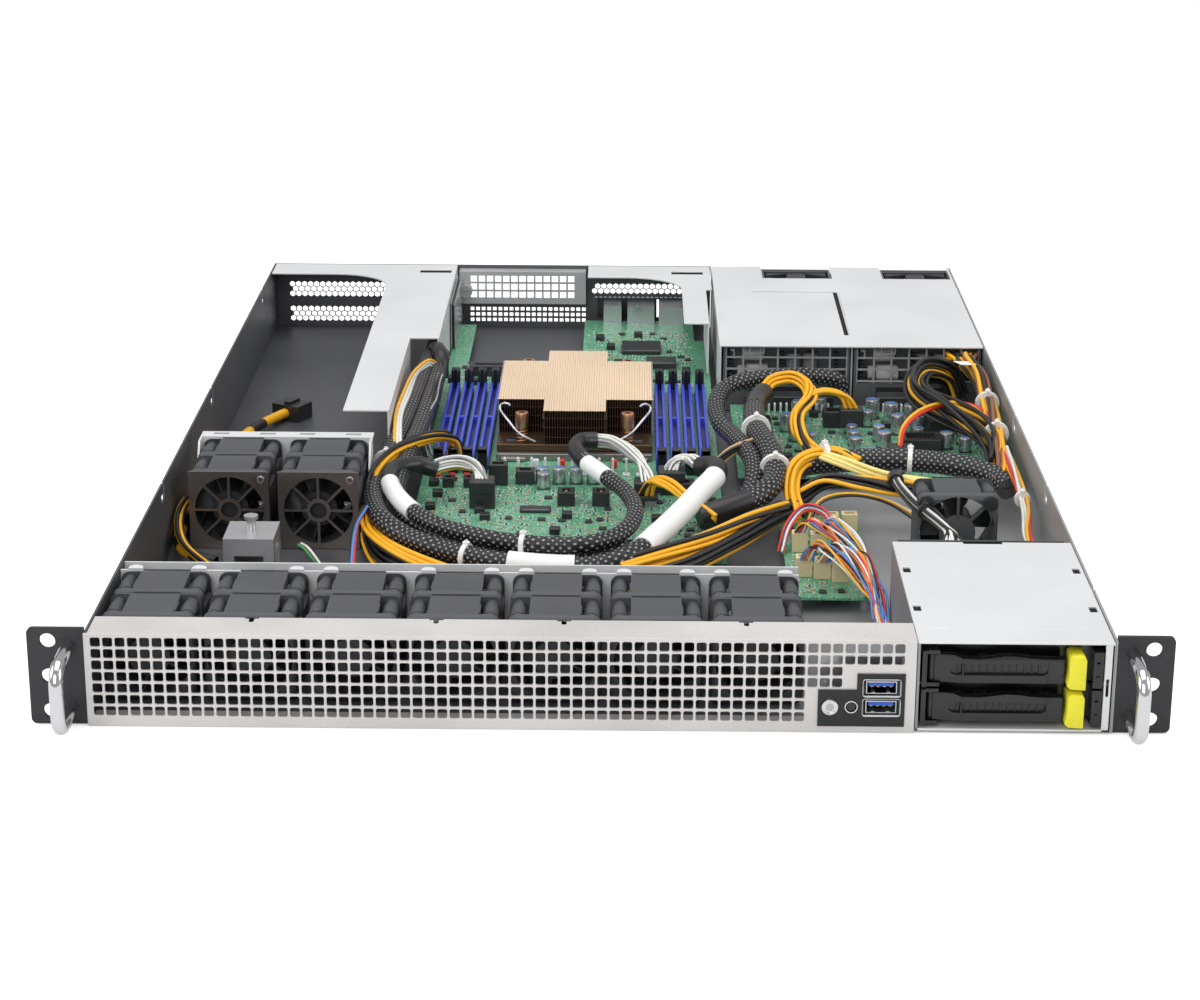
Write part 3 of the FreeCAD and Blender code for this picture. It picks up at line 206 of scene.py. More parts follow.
def copy_to(piece, offsets):
    """Copies of a piece with their own meshes at (x, depth, z) offsets; the first is moved."""
    made = []
    for x, depth, z in offsets[1:]:
        twin = piece.copy()
        twin.data = piece.data.copy()
        bpy.context.scene.collection.objects.link(twin)
        twin.data.transform(Matrix.Translation(Vector((x, depth, z)) / 1000))
        made.append(twin)
    piece.data.transform(Matrix.Translation(Vector(offsets[0]) / 1000))
    return [piece] + made


def paint(piece, material):
    piece.data.materials.clear()
    piece.data.materials.append(material)
    return piece


def smooth(piece, angle=35):
    choose(piece)
    bpy.ops.object.shade_smooth_by_angle(angle=math.radians(angle))
    return piece


def slab(tone, *corners):
    """Block in one finish."""
    return paint(block(*corners), coat(tone))


def pole(tone, *form):
    """Cylinder in one finish."""
    return paint(rod(*form), coat(tone))


def dress(pieces, tone):
    """Gives each piece the same finish."""
    for piece in pieces:
        paint(piece, coat(tone))


def keep(piece, name, body, slot, *nodes):
    """Names a finished piece, ties it to its body and hides the solids it stands for; its finish slot is not
    used.
    """
    piece.name = piece.data.name = name
    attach(piece, body)
    if nodes:
        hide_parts(*nodes)
    return piece


# ---------------------------------------------------------------- finishes
def tree(made):
    """Nodes, links and shader of a material."""
    held = made.node_tree
    return held.nodes, held.links, held.nodes["Principled BSDF"]


def finish(name, colour, rough, metal=0.0, scale=400.0, bump=0.0, spread=0.08, lacquer=0.0):
    """Shader with a colour that varies a little, uneven gloss and a fine relief."""
    made = bpy.data.materials.new(name)
    made.use_nodes = True
    nodes, links, shader = tree(made)
    shader.inputs["Metallic"].default_value = metal
    shader.inputs["Coat Weight"].default_value = lacquer
    where = nodes.new("ShaderNodeTexCoord")
    speck = nodes.new("ShaderNodeTexNoise")
    speck.inputs["Scale"].default_value = scale
    speck.inputs["Detail"].default_value = 3.0
    links.new(where.outputs["Object"], speck.inputs["Vector"])
    cloud = nodes.new("ShaderNodeTexNoise")
    cloud.inputs["Scale"].default_value = 18.0
    cloud.inputs["Detail"].default_value = 2.0
    links.new(where.outputs["Object"], cloud.inputs["Vector"])
    mixed = nodes.new("ShaderNodeMix")
    mixed.data_type = "FLOAT"
    mixed.inputs["Factor"].default_value = 0.5
    links.new(speck.outputs["Fac"], mixed.inputs["A"])
    links.new(cloud.outputs["Fac"], mixed.inputs["B"])
    tone = nodes.new("ShaderNodeValToRGB")
    dark = [c * (1 - spread) for c in colour]
    light = [min(1.0, c * (1 + spread)) for c in colour]
    tone.color_ramp.elements[0].position = 0.35
    tone.color_ramp.elements[1].position = 0.65
    tone.color_ramp.elements[0].color = (*dark, 1)
    tone.color_ramp.elements[1].color = (*light, 1)
    links.new(mixed.outputs["Result"], tone.inputs["Fac"])
    links.new(tone.outputs["Color"], shader.inputs["Base Color"])
    gloss = nodes.new("ShaderNodeMapRange")
    gloss.inputs["From Min"].default_value = 0.3
    gloss.inputs["From Max"].default_value = 0.7
    gloss.inputs["To Min"].default_value = max(0.05, rough - 0.06)
    gloss.inputs["To Max"].default_value = min(1.0, rough + 0.06)
    links.new(cloud.outputs["Fac"], gloss.inputs["Value"])
    links.new(gloss.outputs["Result"], shader.inputs["Roughness"])
    if bump:
        relief = nodes.new("ShaderNodeBump")
        relief.inputs["Strength"].default_value = bump
        relief.inputs["Distance"].default_value = 0.0002
        links.new(speck.outputs["Fac"], relief.inputs["Height"])
        links.new(relief.outputs["Normal"], shader.inputs["Normal"])
    return made


def linear(code):
    """Colour from its usual six-figure code."""
    parts = [int(code[k:k + 2], 16) / 255 for k in (0, 2, 4)]
    return [c / 12.92 if c < 0.04045 else ((c + 0.055) / 1.055) ** 2.4 for c in parts]


ONE_WAVE = 0.628318       # scale at which a diagonal wave repeats once in each cell


def braid_finish():
    """Woven sleeve: two sets of diagonal threads that follow the sleeve round and along, with painted
    highlights on their crests.
    """
    made = finish("sleeve_braid", linear("17171A"), 0.45, spread=0.25, scale=900)
    nodes, links, shader = tree(made)
    where = nodes.new("ShaderNodeUVMap")
    where.uv_map = "UVMap"
    waves = []
    for way in (1, -1):
        turn = nodes.new("ShaderNodeMapping")
        turn.inputs["Scale"].default_value = (1.0, way, 1.0)
        wave = nodes.new("ShaderNodeTexWave")
        wave.wave_type = "BANDS"
        wave.bands_direction = "DIAGONAL"
        wave.inputs["Scale"].default_value = ONE_WAVE
        links.new(where.outputs["UV"], turn.inputs["Vector"])
        links.new(turn.outputs["Vector"], wave.inputs["Vector"])
        waves.append(wave)
    top = nodes.new("ShaderNodeMath")
    top.operation = "MULTIPLY"
    links.new(waves[0].outputs["Fac"], top.inputs[0])
    links.new(waves[1].outputs["Fac"], top.inputs[1])
    # pale grey where both thread sets peak: painted highlights on the black threads
    tone = nodes.new("ShaderNodeValToRGB")
    tone.color_ramp.elements[0].color = (*linear("0C0C0E"), 1)
    tone.color_ramp.elements[1].color = (*linear("A8A8AC"), 1)
    tone.color_ramp.elements[0].position = 0.45
    tone.color_ramp.elements[1].position = 1.0
    links.new(top.outputs["Value"], tone.inputs["Fac"])
    links.new(tone.outputs["Color"], shader.inputs["Base Color"])
    relief = nodes.new("ShaderNodeBump")
    relief.inputs["Strength"].default_value = 0.5
    relief.inputs["Distance"].default_value = 0.0004
    links.new(top.outputs["Value"], relief.inputs["Height"])
    links.new(relief.outputs["Normal"], shader.inputs["Normal"])
    return made


def tray_finish():
    """Dark zinc sheet with a painted reflection of the lamps that makes it paler towards the right side of
    the tray.
    """
    made = finish("tray_zinc", linear("55565A"), 0.42, metal=0.3, scale=900, bump=0.12, spread=0.10)
    nodes, links, shader = tree(made)
    tone = shader.inputs["Base Color"].links[0].from_socket
    where = nodes.new("ShaderNodeTexCoord")
    apart = nodes.new("ShaderNodeSeparateXYZ")
    links.new(where.outputs["Object"], apart.inputs["Vector"])
    share = nodes.new("ShaderNodeMapRange")
    share.inputs["From Min"].default_value = 0.05
    share.inputs["From Max"].default_value = 0.14
    links.new(apart.outputs["X"], share.inputs["Value"])
    # pale grey mixed in towards the right: painted reflection of the lamps on the sheet
    pale = nodes.new("ShaderNodeMix")
    pale.data_type = "RGBA"
    links.new(share.outputs["Result"], pale.inputs["Factor"])
    links.new(tone, pale.inputs["A"])
    pale.inputs["B"].default_value = (*linear("A3A4A6"), 1)
    links.new(pale.outputs["Result"], shader.inputs["Base Color"])
    return made


def lead_finish():
    """Yellow and black wires laid side by side in one round lead."""
    made = finish("lead_bundle", linear("F2B21C"), 0.4, scale=500, spread=0.05)
    nodes, links, shader = tree(made)
    where = nodes.new("ShaderNodeUVMap")
    where.uv_map = "UVMap"
    apart = nodes.new("ShaderNodeSeparateXYZ")
    links.new(where.outputs["UV"], apart.inputs["Vector"])
    lay = nodes.new("ShaderNodeMath")
    lay.operation = "MULTIPLY_ADD"
    lay.inputs[1].default_value = 8.0
    links.new(apart.outputs["X"], lay.inputs[0])
    part = nodes.new("ShaderNodeMath")
    part.operation = "FRACT"
    links.new(lay.outputs["Value"], part.inputs[0])
    tone = nodes.new("ShaderNodeValToRGB")
    tone.color_ramp.interpolation = "CONSTANT"
    tone.color_ramp.elements[0].color = (*linear("F2B21C"), 1)
    tone.color_ramp.elements[1].color = (*linear("1E1E20"), 1)
    tone.color_ramp.elements[1].position = 0.5
    links.new(part.outputs["Value"], tone.inputs["Fac"])
    links.new(tone.outputs["Color"], shader.inputs["Base Color"])
    return made


def tint(code, rough, scale, **more):
    """Values of one finish: colour code, roughness, size of its speckle and what else it needs."""
    return dict(colour=linear(code), rough=rough, scale=scale, **more)


FINISHES = {
    "panel_grey": tint("CECBC9", 0.42, 1400, metal=0.3, bump=0.25, spread=0.10),
    "cover_grey": tint("DCDDDE", 0.45, 1200, metal=0.25, bump=0.10, spread=0.03),
    "ear_black": tint("2A2A2D", 0.55, 1500, bump=0.6, spread=0.2),
    "chrome": tint("CFCFD2", 0.12, 300, metal=1.0, spread=0.03),
    "overlay_black": tint("101012", 0.35, 1500, bump=0.1, spread=0.1),
    "fan_black": tint("46474B", 0.5, 1200, bump=0.3, spread=0.12),
    "rotor_black": tint("2C2D30", 0.4, 900, bump=0.1, spread=0.12),
    "guard_steel": tint("8C8580", 0.32, 900, metal=0.9, bump=0.15, spread=0.1),
    "bracket_steel": tint("C9C9CB", 0.32, 1100, metal=0.8, bump=0.15, spread=0.06),
    "psu_black": tint("6E6F72", 0.42, 1300, metal=0.5, bump=0.15, spread=0.08),
    "can_pale": tint("D4D2D0", 0.35, 500, bump=0.05, spread=0.05),
    "coil_grey": tint("77777A", 0.5, 500, bump=0.1, spread=0.12),
    "holder_steel": tint("B9BABC", 0.38, 900, metal=0.35, bump=0.1, spread=0.05),
    "knob_steel": tint("B4B3B2", 0.3, 600, metal=0.5, bump=0.1, spread=0.05),
    # darker grey for the drive cage's left wall: painted shade on that side of the sheet
    "cage_side": tint("8D8E90", 0.45, 900, metal=0.3, bump=0.1, spread=0.05),
    "shadow_black": tint("060607", 0.8, 400, spread=0.1),
    "bar_grey": tint("9C9D9F", 0.45, 900, metal=0.1, bump=0.1, spread=0.06),
    "psu_green": tint("2E7D44", 0.4, 800, bump=0.1),
    "tab_yellow": tint("E3DB2C", 0.35, 700, bump=0.1, spread=0.04),
    "carrier_black": tint("0F0F11", 0.25, 900, bump=0.15, spread=0.15, lacquer=0.25),
    "board_green": tint("2C7350", 0.35, 700, bump=0.2, spread=0.22, lacquer=0.3),
    "connector_cream": tint("D9C7A0", 0.45, 800, bump=0.1),
    "part_black": tint("2A2B2D", 0.4, 900, bump=0.2, spread=0.2),
    "socket_blue": tint("3548CC", 0.32, 800, bump=0.1, spread=0.08, lacquer=0.2),
    "latch_black": tint("17181F", 0.35, 800, bump=0.1, spread=0.12),
    "sink_copper": tint("F0D6B6", 0.36, 900, metal=0.3, bump=0.12, spread=0.07),
    "screw_copper": tint("C89A78", 0.3, 700, metal=0.9, bump=0.1),
    "frame_steel": tint("8B8784", 0.35, 800, metal=0.8, bump=0.15),
    "port_steel": tint("C2C3C6", 0.28, 800, metal=0.9, bump=0.1, spread=0.05),
    "button_steel": tint("D2D3D6", 0.2, 500, metal=0.9, spread=0.03),
    "sleeve_black": tint("26262A", 0.5, 900, bump=0.3, spread=0.2),
    "heat_shrink": tint("1B1B1D", 0.35, 300, bump=0.35, spread=0.15),
    "label_white": tint("EDEDEB", 0.5, 400, bump=0.05, spread=0.02),
    "nylon_white": tint("E9E9E6", 0.38, 400, bump=0.05, spread=0.02),
    "usb_blue": tint("2458C0", 0.35, 500, bump=0.05),
    "pin_gold": tint("D8B45A", 0.3, 500, metal=0.9),
    "can_silver": tint("C6C8CC", 0.25, 500, metal=0.85, spread=0.04),
    # the fin copper darkened to brown: painted shade between and under the fins
    "fin_brown": tint("5C4638", 0.4, 600, metal=0.7, bump=0.1, spread=0.15),
    "dark_steel": tint("3A3A3C", 0.4, 800, metal=0.6, bump=0.1, spread=0.15),
    # darker blue on the floor of each socket's groove: painted shade in the groove
    "latch_navy": tint("232A6E", 0.35, 800, bump=0.1, spread=0.1),
    "mark_white": tint("D9DADB", 0.5, 400, spread=0.03),
}
WIRE_TONES = {
    "yellow": ("F2B21C", 0.38, 0.05), "black": ("1E1E20", 0.4, 0.1), "white": ("E2E2DC", 0.42, 0.04),
    "grey": ("9A9B9C", 0.42, 0.08), "red": ("D8342C", 0.4, 0.08), "blue": ("4F86C8", 0.4, 0.08),
    "green": ("3E9A5C", 0.4, 0.08), "brown": ("8A5A3C", 0.4, 0.08), "orange": ("E87A2A", 0.4, 0.08),
    "pale": ("EFE08A", 0.4, 0.04), "tan": ("C9A878", 0.42, 0.08),
}
for tone, (code, rough, spread) in WIRE_TONES.items():
    FINISHES[f"wire_{tone}"] = tint(code, rough, 500, bump=0.05, spread=spread)
MADE = {}           # finishes made so far, by name


def colour_setting(label, name):
    """Colour that a user may change, starting at the finish's own."""
    return FloatVectorProperty(name=label, description=f"Colour of the {label.lower()}", subtype="COLOR",
                               size=3, min=0.0, max=1.0, default=FINISHES[name]["colour"])


class ServerLooks(bpy.types.PropertyGroup):
    """Colours of the server's main groups"""
    cover_grey: colour_setting("Sheet covers", "cover_grey")
    panel_grey: colour_setting("Front grille", "panel_grey")
    socket_blue: colour_setting("Memory sockets", "socket_blue")
    sink_copper: colour_setting("Cooler fins", "sink_copper")
    tab_yellow: colour_setting("Release tabs", "tab_yellow")
    wire_yellow: colour_setting("Power wires", "wire_yellow")


class ServerSizes(bpy.types.PropertyGroup):
    """Sizes of the server's repeated and loose pieces"""
    grille_hole: FloatProperty(name="Grille hole", description="Side of one square front hole",
                               default=0.0042, min=0.002, max=0.0046, unit="LENGTH")
    trunk_radius: FloatProperty(name="Trunk radius", description="Radius of the widest braided sleeve",
                                default=0.0052, min=0.003, max=0.007, unit="LENGTH")
    wire_radius: FloatProperty(name="Power wire radius", description="Radius of one yellow or black wire",
                               default=0.0012, min=0.0006, max=0.0016, unit="LENGTH")
    fins: IntProperty(name="Cooler fins", description="Number of fins in the cooler's stack", default=60,
                      min=20, max=90)


def coat(name):
    """The finish of that name, made the first time it is asked for."""
    if name not in MADE:
        special = {"sleeve_braid": braid_finish, "lead_bundle": lead_finish, "board_mask": board_finish,
                   "tray_zinc": tray_finish}
        if name in special:
            MADE[name] = special[name]()
        else:
            given = dict(FINISHES[name])
            given["colour"] = list(getattr(bpy.context.scene.server_looks, name, given["colour"]))
            MADE[name] = finish(name, **given)
    return MADE[name]


# ---------------------------------------------------------------- routes and cords
def along(points, step=2.5):
    """Smooth line through a route, as evenly spaced points in millimetres."""
    knots = [Vector(p) for p in points]
    knots = [knots[0] * 2 - knots[1]] + knots + [knots[-1] * 2 - knots[-2]]
    fine = []
    for a, b, c, e in zip(knots, knots[1:], knots[2:], knots[3:]):
        count = max(2, int((c - b).length / 1.0))
        for k in range(count):
            t = k / count
            fine.append(0.5 * (2 * b + (c - a) * t + (2 * a - 5 * b + 4 * c - e) * t * t
                               + (3 * b - a - 3 * c + e) * t ** 3))
    fine.append(Vector(points[-1]))
    line, run = [fine[0]], 0.0
    for p, q in zip(fine, fine[1:]):
        run += (q - p).length
        if run >= step:
            line.append(q)
            run = 0.0
    if (line[-1] - fine[-1]).length > step * 0.4:
        line.append(fine[-1])
    else:
        line[-1] = fine[-1]
    return line


def carried(line):
    """Two cross directions at each point of a line, carried along without turning."""
    pairs = []
    side = Vector((1, 0, 0))
    for k, p in enumerate(line):
        way = (line[min(k + 1, len(line) - 1)] - line[max(k - 1, 0)]).normalized()
        if abs(side.dot(way)) > 0.9 and not pairs:
            side = Vector((0, 0, 1))
        side = (side - way * side.dot(way)).normalized()
        pairs.append((side, way.cross(side)))
    return pairs


def curve_mesh(name, lines, radius, tones, finishes, sides=1, swell=0.0):
    """Round cords along lines in millimetres, each with the finish of its number, as a mesh."""
    shape = bpy.data.curves.new(name, "CURVE")
    for tone in finishes:
        shape.materials.append(coat(tone))
    shape.dimensions = "3D"
    shape.bevel_depth = radius / 1000
    shape.bevel_resolution = sides
    shape.use_fill_caps = True
    for line, tone in zip(lines, tones):
        spline = shape.splines.new("POLY")
        spline.points.add(len(line) - 1)
        for spot, p in zip(spline.points, line):
            spot.co = (*place(*p), 1)
            spot.radius = 1 + swell * math.sin(0.11 * (p[0] + 1.7 * p[1])) * math.sin(0.07 * (p[1] - p[0]))
        spline.material_index = tone
        spline.use_smooth = True
    piece = bpy.data.objects.new(name, shape)
    bpy.context.scene.collection.objects.link(piece)
    choose(piece)
    bpy.ops.object.convert(target="MESH")
    return bpy.context.object


def grid_spots(count, rows, pitch, across, up):
    """Places of wires in the rows of a connector."""
    columns = math.ceil(count / rows)
    return [across * ((k % columns) - (columns - 1) / 2) * pitch
            + up * ((k // columns) - (rows - 1) / 2) * pitch for k in range(count)]


def strands(name, route, tones, bundle_r, wire_r, turns=0.6, seed=1, head=None, tail=None, loose=0.15,
            fan_mm=22.0):
    """Bundle of separate wires that wind round each other and fan out into their connectors.

    tones is a list of (finish name, count).  head and tail are (rows, pitch, across, up)."""
    line = along(route)
    cross = carried(line)
    dice = random.Random(seed)
    names = [t for t, _ in tones]
    list_of = [k for k, (_, n) in enumerate(tones) for _ in range(n)]
    dice.shuffle(list_of)
    total = len(list_of)
    lengths = [0.0]
    for p, q in zip(line, line[1:]):
        lengths.append(lengths[-1] + (q - p).length)
    lines = []
    ends = []
    for side in (head, tail):
        if side:
            rows, pitch, across, up = side
            ends.append(grid_spots(total, rows, pitch, Vector(across), Vector(up)))
        else:
            ends.append(None)
    for k in range(total):
        r = (bundle_r - wire_r) * math.sqrt((k + 0.5) / total)
        angle = k * GOLDEN
        sway = dice.uniform(0, 2 * math.pi)
        rate = dice.uniform(0.02, 0.05)
        path = []
        for p, (side, up), s in zip(line, cross, lengths):
            turn = angle + 2 * math.pi * turns * s / max(lengths[-1], 1) + loose * math.sin(rate * s + sway)
            reach = r * (1 + 0.5 * loose * math.sin(rate * 1.7 * s + 2 * sway))
            offset = side * math.cos(turn) * reach + up * math.sin(turn) * reach
            for spots, gap in ((ends[0], s), (ends[1], lengths[-1] - s)):
                if spots:
                    t = min(1.0, gap / fan_mm)
                    t = t * t * (3 - 2 * t)
                    offset = spots[k] * (1 - t) + offset * t
            path.append(p + offset)
        lines.append(path)
    return curve_mesh(name, lines, wire_r, list_of, names)


WEAVE = 3.8               # one cell of the braid's pattern, in millimetres
SWELL = 0.02              # how unevenly a braid is filled, as a share of its radius


def sleeve(name, route, radius, tone="sleeve_braid", t0=0.0, t1=1.0, sides=4):
    """Round cover on part of a route, with a pattern that follows it."""
    line = along(route, 2.0)
    first, last = int(t0 * (len(line) - 1)), int(math.ceil(t1 * (len(line) - 1)))
    part = line[first:last + 1]
    run = sum((q - p).length for p, q in zip(part, part[1:]))
    piece = curve_mesh(name, [part], radius, [0], [tone], sides, SWELL if tone == "sleeve_braid" else 0.0)
    layer = piece.data.uv_layers[0]
    layer.name = "UVMap"
    around = max(1, round(2 * math.pi * radius / WEAVE))
    for corner in layer.data:
        corner.uv = (corner.uv[0] * run / WEAVE, corner.uv[1] * around)
    return piece


def spot_on(route, t):
    """Place and direction at a share of a route's length."""
    line = along(route, 1.0)
    k = min(len(line) - 2, int(t * (len(line) - 1)))
    return line[k], (line[k + 1] - line[k]).normalized()


def tie(route, t, radius, tone="nylon_white", width=2.4):
    """Nylon strap round a bundle with its locking head and cut tail."""
    p, way = spot_on(route, t)
    deselect()
    bpy.ops.mesh.primitive_cylinder_add(vertices=20, radius=(radius + 0.6) / 1000, depth=width / 1000)
    strap = bpy.context.object
    head = block(-1.3, 1.3, BODY_L / 2 + radius, BODY_L / 2 + radius + 1.8, -1.6, 1.6, 0.4)
    end = block(-0.8, 0.8, BODY_L / 2 + radius + 1.4, BODY_L / 2 + radius + 2.6, -0.4, 0.4, 0.2)
    band = join([strap, head, end])
    up = Vector((0, 0, 1)) if abs(way.z) < 0.8 else Vector((0, 1, 0))
    out = (up - way * up.dot(way)).normalized()
    turn = Matrix((way.cross(out) * -1, out, way)).transposed()
    if turn.determinant() < 0:
        turn = Matrix((way.cross(out), out, way)).transposed()
    band.data.transform(Matrix.Translation(place(*p)) @ turn.to_4x4())
    return paint(band, coat(tone))


# ---------------------------------------------------------------- camera, floor and lamps
class SERVER_OT_studio(bpy.types.Operator):
    """Camera, pale floor and soft lamps"""
    bl_idname = "server.studio"
    bl_label = "Studio"

    def execute(self, context):
        scene = context.scene
        scene.view_settings.view_transform = "Standard"
        lens = bpy.data.cameras.new("view")
        lens.sensor_width = 36.0
        lens.lens = 82.2
        eye = bpy.data.objects.new("view", lens)
        scene.collection.objects.link(eye)
        pitch, yaw, roll = math.radians(18.73), math.radians(-0.60), math.radians(0.26)
        turn = (Matrix.Rotation(-yaw, 3, "Z") @ Matrix.Rotation(math.pi / 2 - pitch, 3, "X")
                @ Matrix.Rotation(roll, 3, "Z"))
        eye.rotation_euler = turn.to_euler()
        eye.location = (0.011, -1.3927, 0.4649)
        lens.clip_start, lens.clip_end = 0.05, 30.0
        scene.camera = eye
        deselect()
        bpy.ops.mesh.primitive_plane_add(size=14, location=(0, 3, -0.0005))
        floor = settle(context.object)
        floor.name = "floor"
        paint(floor, studio_white())
        for name, spot, aim, size, power in (
                ("top_lamp", (0.0, 0.1, 1.9), (0, 0, 0), 1.9, 21.5),
                ("front_lamp", (-0.5, -2.2, 1.3), (0, -0.2, 0), 1.5, 21.0),
                ("right_lamp", (1.9, -0.4, 1.0), (0, 0, 0), 1.2, 12.0),
                ("left_lamp", (-1.9, -0.2, 1.0), (0, 0, 0), 1.2, 12.0)):
            lamp = bpy.data.lights.new(name, "AREA")
            lamp.shape = "SQUARE"
            lamp.size = size
            lamp.energy = power
            held = bpy.data.objects.new(name, lamp)
            scene.collection.objects.link(held)
            held.location = spot
            held.rotation_euler = (Vector(aim) - Vector(spot)).to_track_quat("-Z", "Y").to_euler()
        world = bpy.data.worlds.new("sky")
        scene.world = world
        world.use_nodes = True
        nodes, links = world.node_tree.nodes, world.node_tree.links
        back = nodes["Background"]
        back.inputs["Color"].default_value = (1, 1, 1, 1)
        seen = nodes.new("ShaderNodeLightPath")
        level = nodes.new("ShaderNodeMapRange")
        level.inputs["To Min"].default_value = 0.5
        level.inputs["To Max"].default_value = 1.0
        links.new(seen.outputs["Is Camera Ray"], level.inputs["Value"])
        links.new(level.outputs["Result"], back.inputs["Strength"])
        return {"FINISHED"}


def studio_white():
    """Floor that reads white to the camera and keeps a faint shadow."""
    made = bpy.data.materials.new("floor_white")
    made.use_nodes = True
    nodes, links, shader = tree(made)
    shader.inputs["Base Color"].default_value = (0.86, 0.86, 0.86, 1)
    shader.inputs["Roughness"].default_value = 0.9
    glow = nodes.new("ShaderNodeLightPath")
    lift = nodes.new("ShaderNodeMath")
    lift.operation = "MULTIPLY"
    lift.inputs[1].default_value = 0.45
    links.new(glow.outputs["Is Camera Ray"], lift.inputs[0])
    shader.inputs["Emission Color"].default_value = (1, 1, 1, 1)
    links.new(lift.outputs["Value"], shader.inputs["Emission Strength"])
    return made


# ---------------------------------------------------------------- cables
ACROSS, BACK, UP = (1, 0, 0), (0, 1, 0), (0, 0, 1)
TRUNK = [(-104, 500, 30), (-106, 440, 29), (-109, 366, 27), (-113, 307, 25), (-116.5, 263, 24),
         (-116, 230, 23), (-107, 200, 22), (-88, 178, 20), (-55, 160, 18), (-12, 154, 17), (12, 161, 20),
         (26, 187, 22), (38, 215, 24), (48, 241, 26), (56, 261, 28), (56, 275, 28), (49, 284, 25)]
INNER_TRUNK = [(-98, 480, 29), (-99, 410, 28), (-101, 350, 27), (-104, 296, 26), (-106, 256, 25),
               (-104, 230, 24), (-94, 206, 21), (-74, 186, 19), (-46, 174, 18), (-12, 172, 17),
               (14, 180, 17), (28, 194, 17)]
LOOP = [(-87, 276, 25), (-98, 275, 28), (-109, 262, 29), (-108, 240, 28), (-97, 210, 27), (-80, 186, 26),
        (-52, 169, 25), (-27, 162, 25), (-8, 164, 25), (8, 180, 25), (15, 206, 26), (11, 234, 27),
        (0, 258, 28), (-11, 280, 29), (-16, 297, 30), (-13, 308, 31), (-5, 309, 31)]
SLEEVE = [(86, 392, 33), (81, 372, 33), (79, 330, 33), (86, 290, 30), (86, 262, 26), (77, 243, 23),
          (60, 231, 20), (47, 226, 17)]
ARCH = [(133, 436, 19), (130, 436, 28), (112, 428, 33), (88, 416, 35), (68, 404, 34), (60, 382, 31),
        (61, 352, 28), (69, 322, 28), (76, 290, 27), (75, 262, 22), (68, 246, 18)]
CROSS_SLEEVE = [(92, 276, 23), (104, 287, 26), (134, 292, 27), (158, 292, 27), (182, 287, 26),
                (200, 279, 23), (207, 264, 20)]
CURL = [(-103, 486, 22), (-102, 478, 33), (-99, 466, 36), (-97, 455, 34), (-96.5, 450, 24)]
FRONT_WIRES = [(-117, 330, 14), (-117.5, 290, 12), (-118, 245, 10), (-115, 205, 9), (-100, 172, 8),
               (-60, 140, 10), (0, 138, 12), (34, 158, 14), (62, 190, 17), (84, 222, 19), (98, 244, 18)]
FRONT_YELLOW = [(-113, 296, 16), (-118.5, 262, 16), (-119, 226, 16), (-112, 194, 17), (-92, 168, 15),
                (-62, 150, 12), (-30, 145, 11)]
RIGHT_RUN = [(8, 152, 17), (28, 166, 19), (50, 186, 20), (70, 208, 22), (84, 224, 22), (90, 236, 20)]
LEFT_ARC = [(-82, 336, 12), (-83, 333, 24), (-92, 318, 30), (-104, 300, 31), (-113, 282, 30),
            (-118, 258, 27), (-119, 232, 20)]
LEFT_THIN = [(-100, 452, 30), (-104, 442, 35), (-110, 420, 34), (-112, 384, 33), (-113, 350, 32),
             (-111, 318, 30), (-109, 296, 26)]
LEFT_GREY = [(-98, 436, 26), (-96, 424, 32), (-97, 396, 30), (-99, 366, 27), (-100, 342, 22),
             (-97, 332, 14)]
RIGHT_YELLOW = [(85, 390, 33), (91, 404, 36), (103, 409, 37), (111, 400, 35), (111, 384, 32),
                (104, 366, 28), (105, 348, 22), (114, 336, 15)]
YELLOW_HOOK = [(104, 366, 27), (109, 384, 32), (119, 394, 34), (131, 396, 31), (136, 396, 22)]
RIGHT_LOW = [(130, 284, 27), (118, 290, 31), (104, 284, 31), (96, 270, 28), (94, 250, 22), (97, 228, 18)]
PALE_RUN = [(112, 286, 31), (122, 276, 31), (138, 265, 29), (156, 260, 27), (176, 258, 24)]
BLACK_RUN = [(98, 256, 18), (112, 262, 25), (130, 258, 26), (150, 254, 24), (178, 254, 20)]
CENTRE_YELLOW = [(20, 268, 13), (24, 262, 24), (33, 248, 27), (44, 232, 24), (56, 222, 19)]
PSU_WIRES = [(204, 466, 35), (204, 446, 37.5), (208, 418, 36), (208.5, 388, 33), (208, 352, 32),
             (207, 318, 30), (206, 286, 26), (203, 270, 22)]
PSU_BLACK = [(200, 446, 16), (192, 442, 30), (178, 428, 36), (171, 404, 35), (174, 384, 33),
             (188, 362, 31), (200, 338, 30), (206, 316, 28), (205, 292, 24)]
RED_WIRE = [(158, 340, 19), (160, 346, 28), (170, 360, 33), (186, 370, 35), (200, 366, 34),
            (208, 346, 33)]
DRIVE_POWER = [(208, 300, 31), (208.5, 262, 29), (208, 232, 28), (207, 205, 27), (204, 178, 27),
               (203, 150, 28), (203, 138, 26)]
FAN_FLAT = [(150, 268, 26), (147, 256, 29), (148, 232, 31), (153, 200, 33), (160, 166, 36),
            (163, 148, 37), (163.5, 136, 34)]
GPU_LEFT = [(-208, 262, 12), (-211, 240, 20), (-212, 218, 17), (-206, 196, 12), (-192, 178, 8),
            (-176, 158, 7)]
RAINBOWS = [
    [(97, 164, 18), (101, 160, 27), (109, 150, 28), (117, 138, 24), (124, 124, 16), (127, 112, 8)],
    [(105, 161, 18), (110, 158, 27), (117, 148, 27), (123, 134, 22), (127, 121, 14), (129, 110, 7)],
    [(113, 160, 18), (118, 154, 25), (122, 143, 25), (126, 130, 19), (129, 118, 11), (130, 108, 6)],
    [(96, 202, 18), (100, 195, 27), (108, 181, 27), (116, 163, 25), (123, 143, 20), (127, 126, 14),
     (129, 110, 7)],
    [(105, 202, 18), (111, 193, 28), (118, 177, 27), (124, 157, 24), (127, 138, 18), (129, 118, 10),
     (130, 108, 6)],
]
RAINBOW = (("wire_red", 1), ("wire_blue", 2), ("wire_white", 2), ("wire_orange", 1), ("wire_black", 1),
           ("wire_yellow", 1))


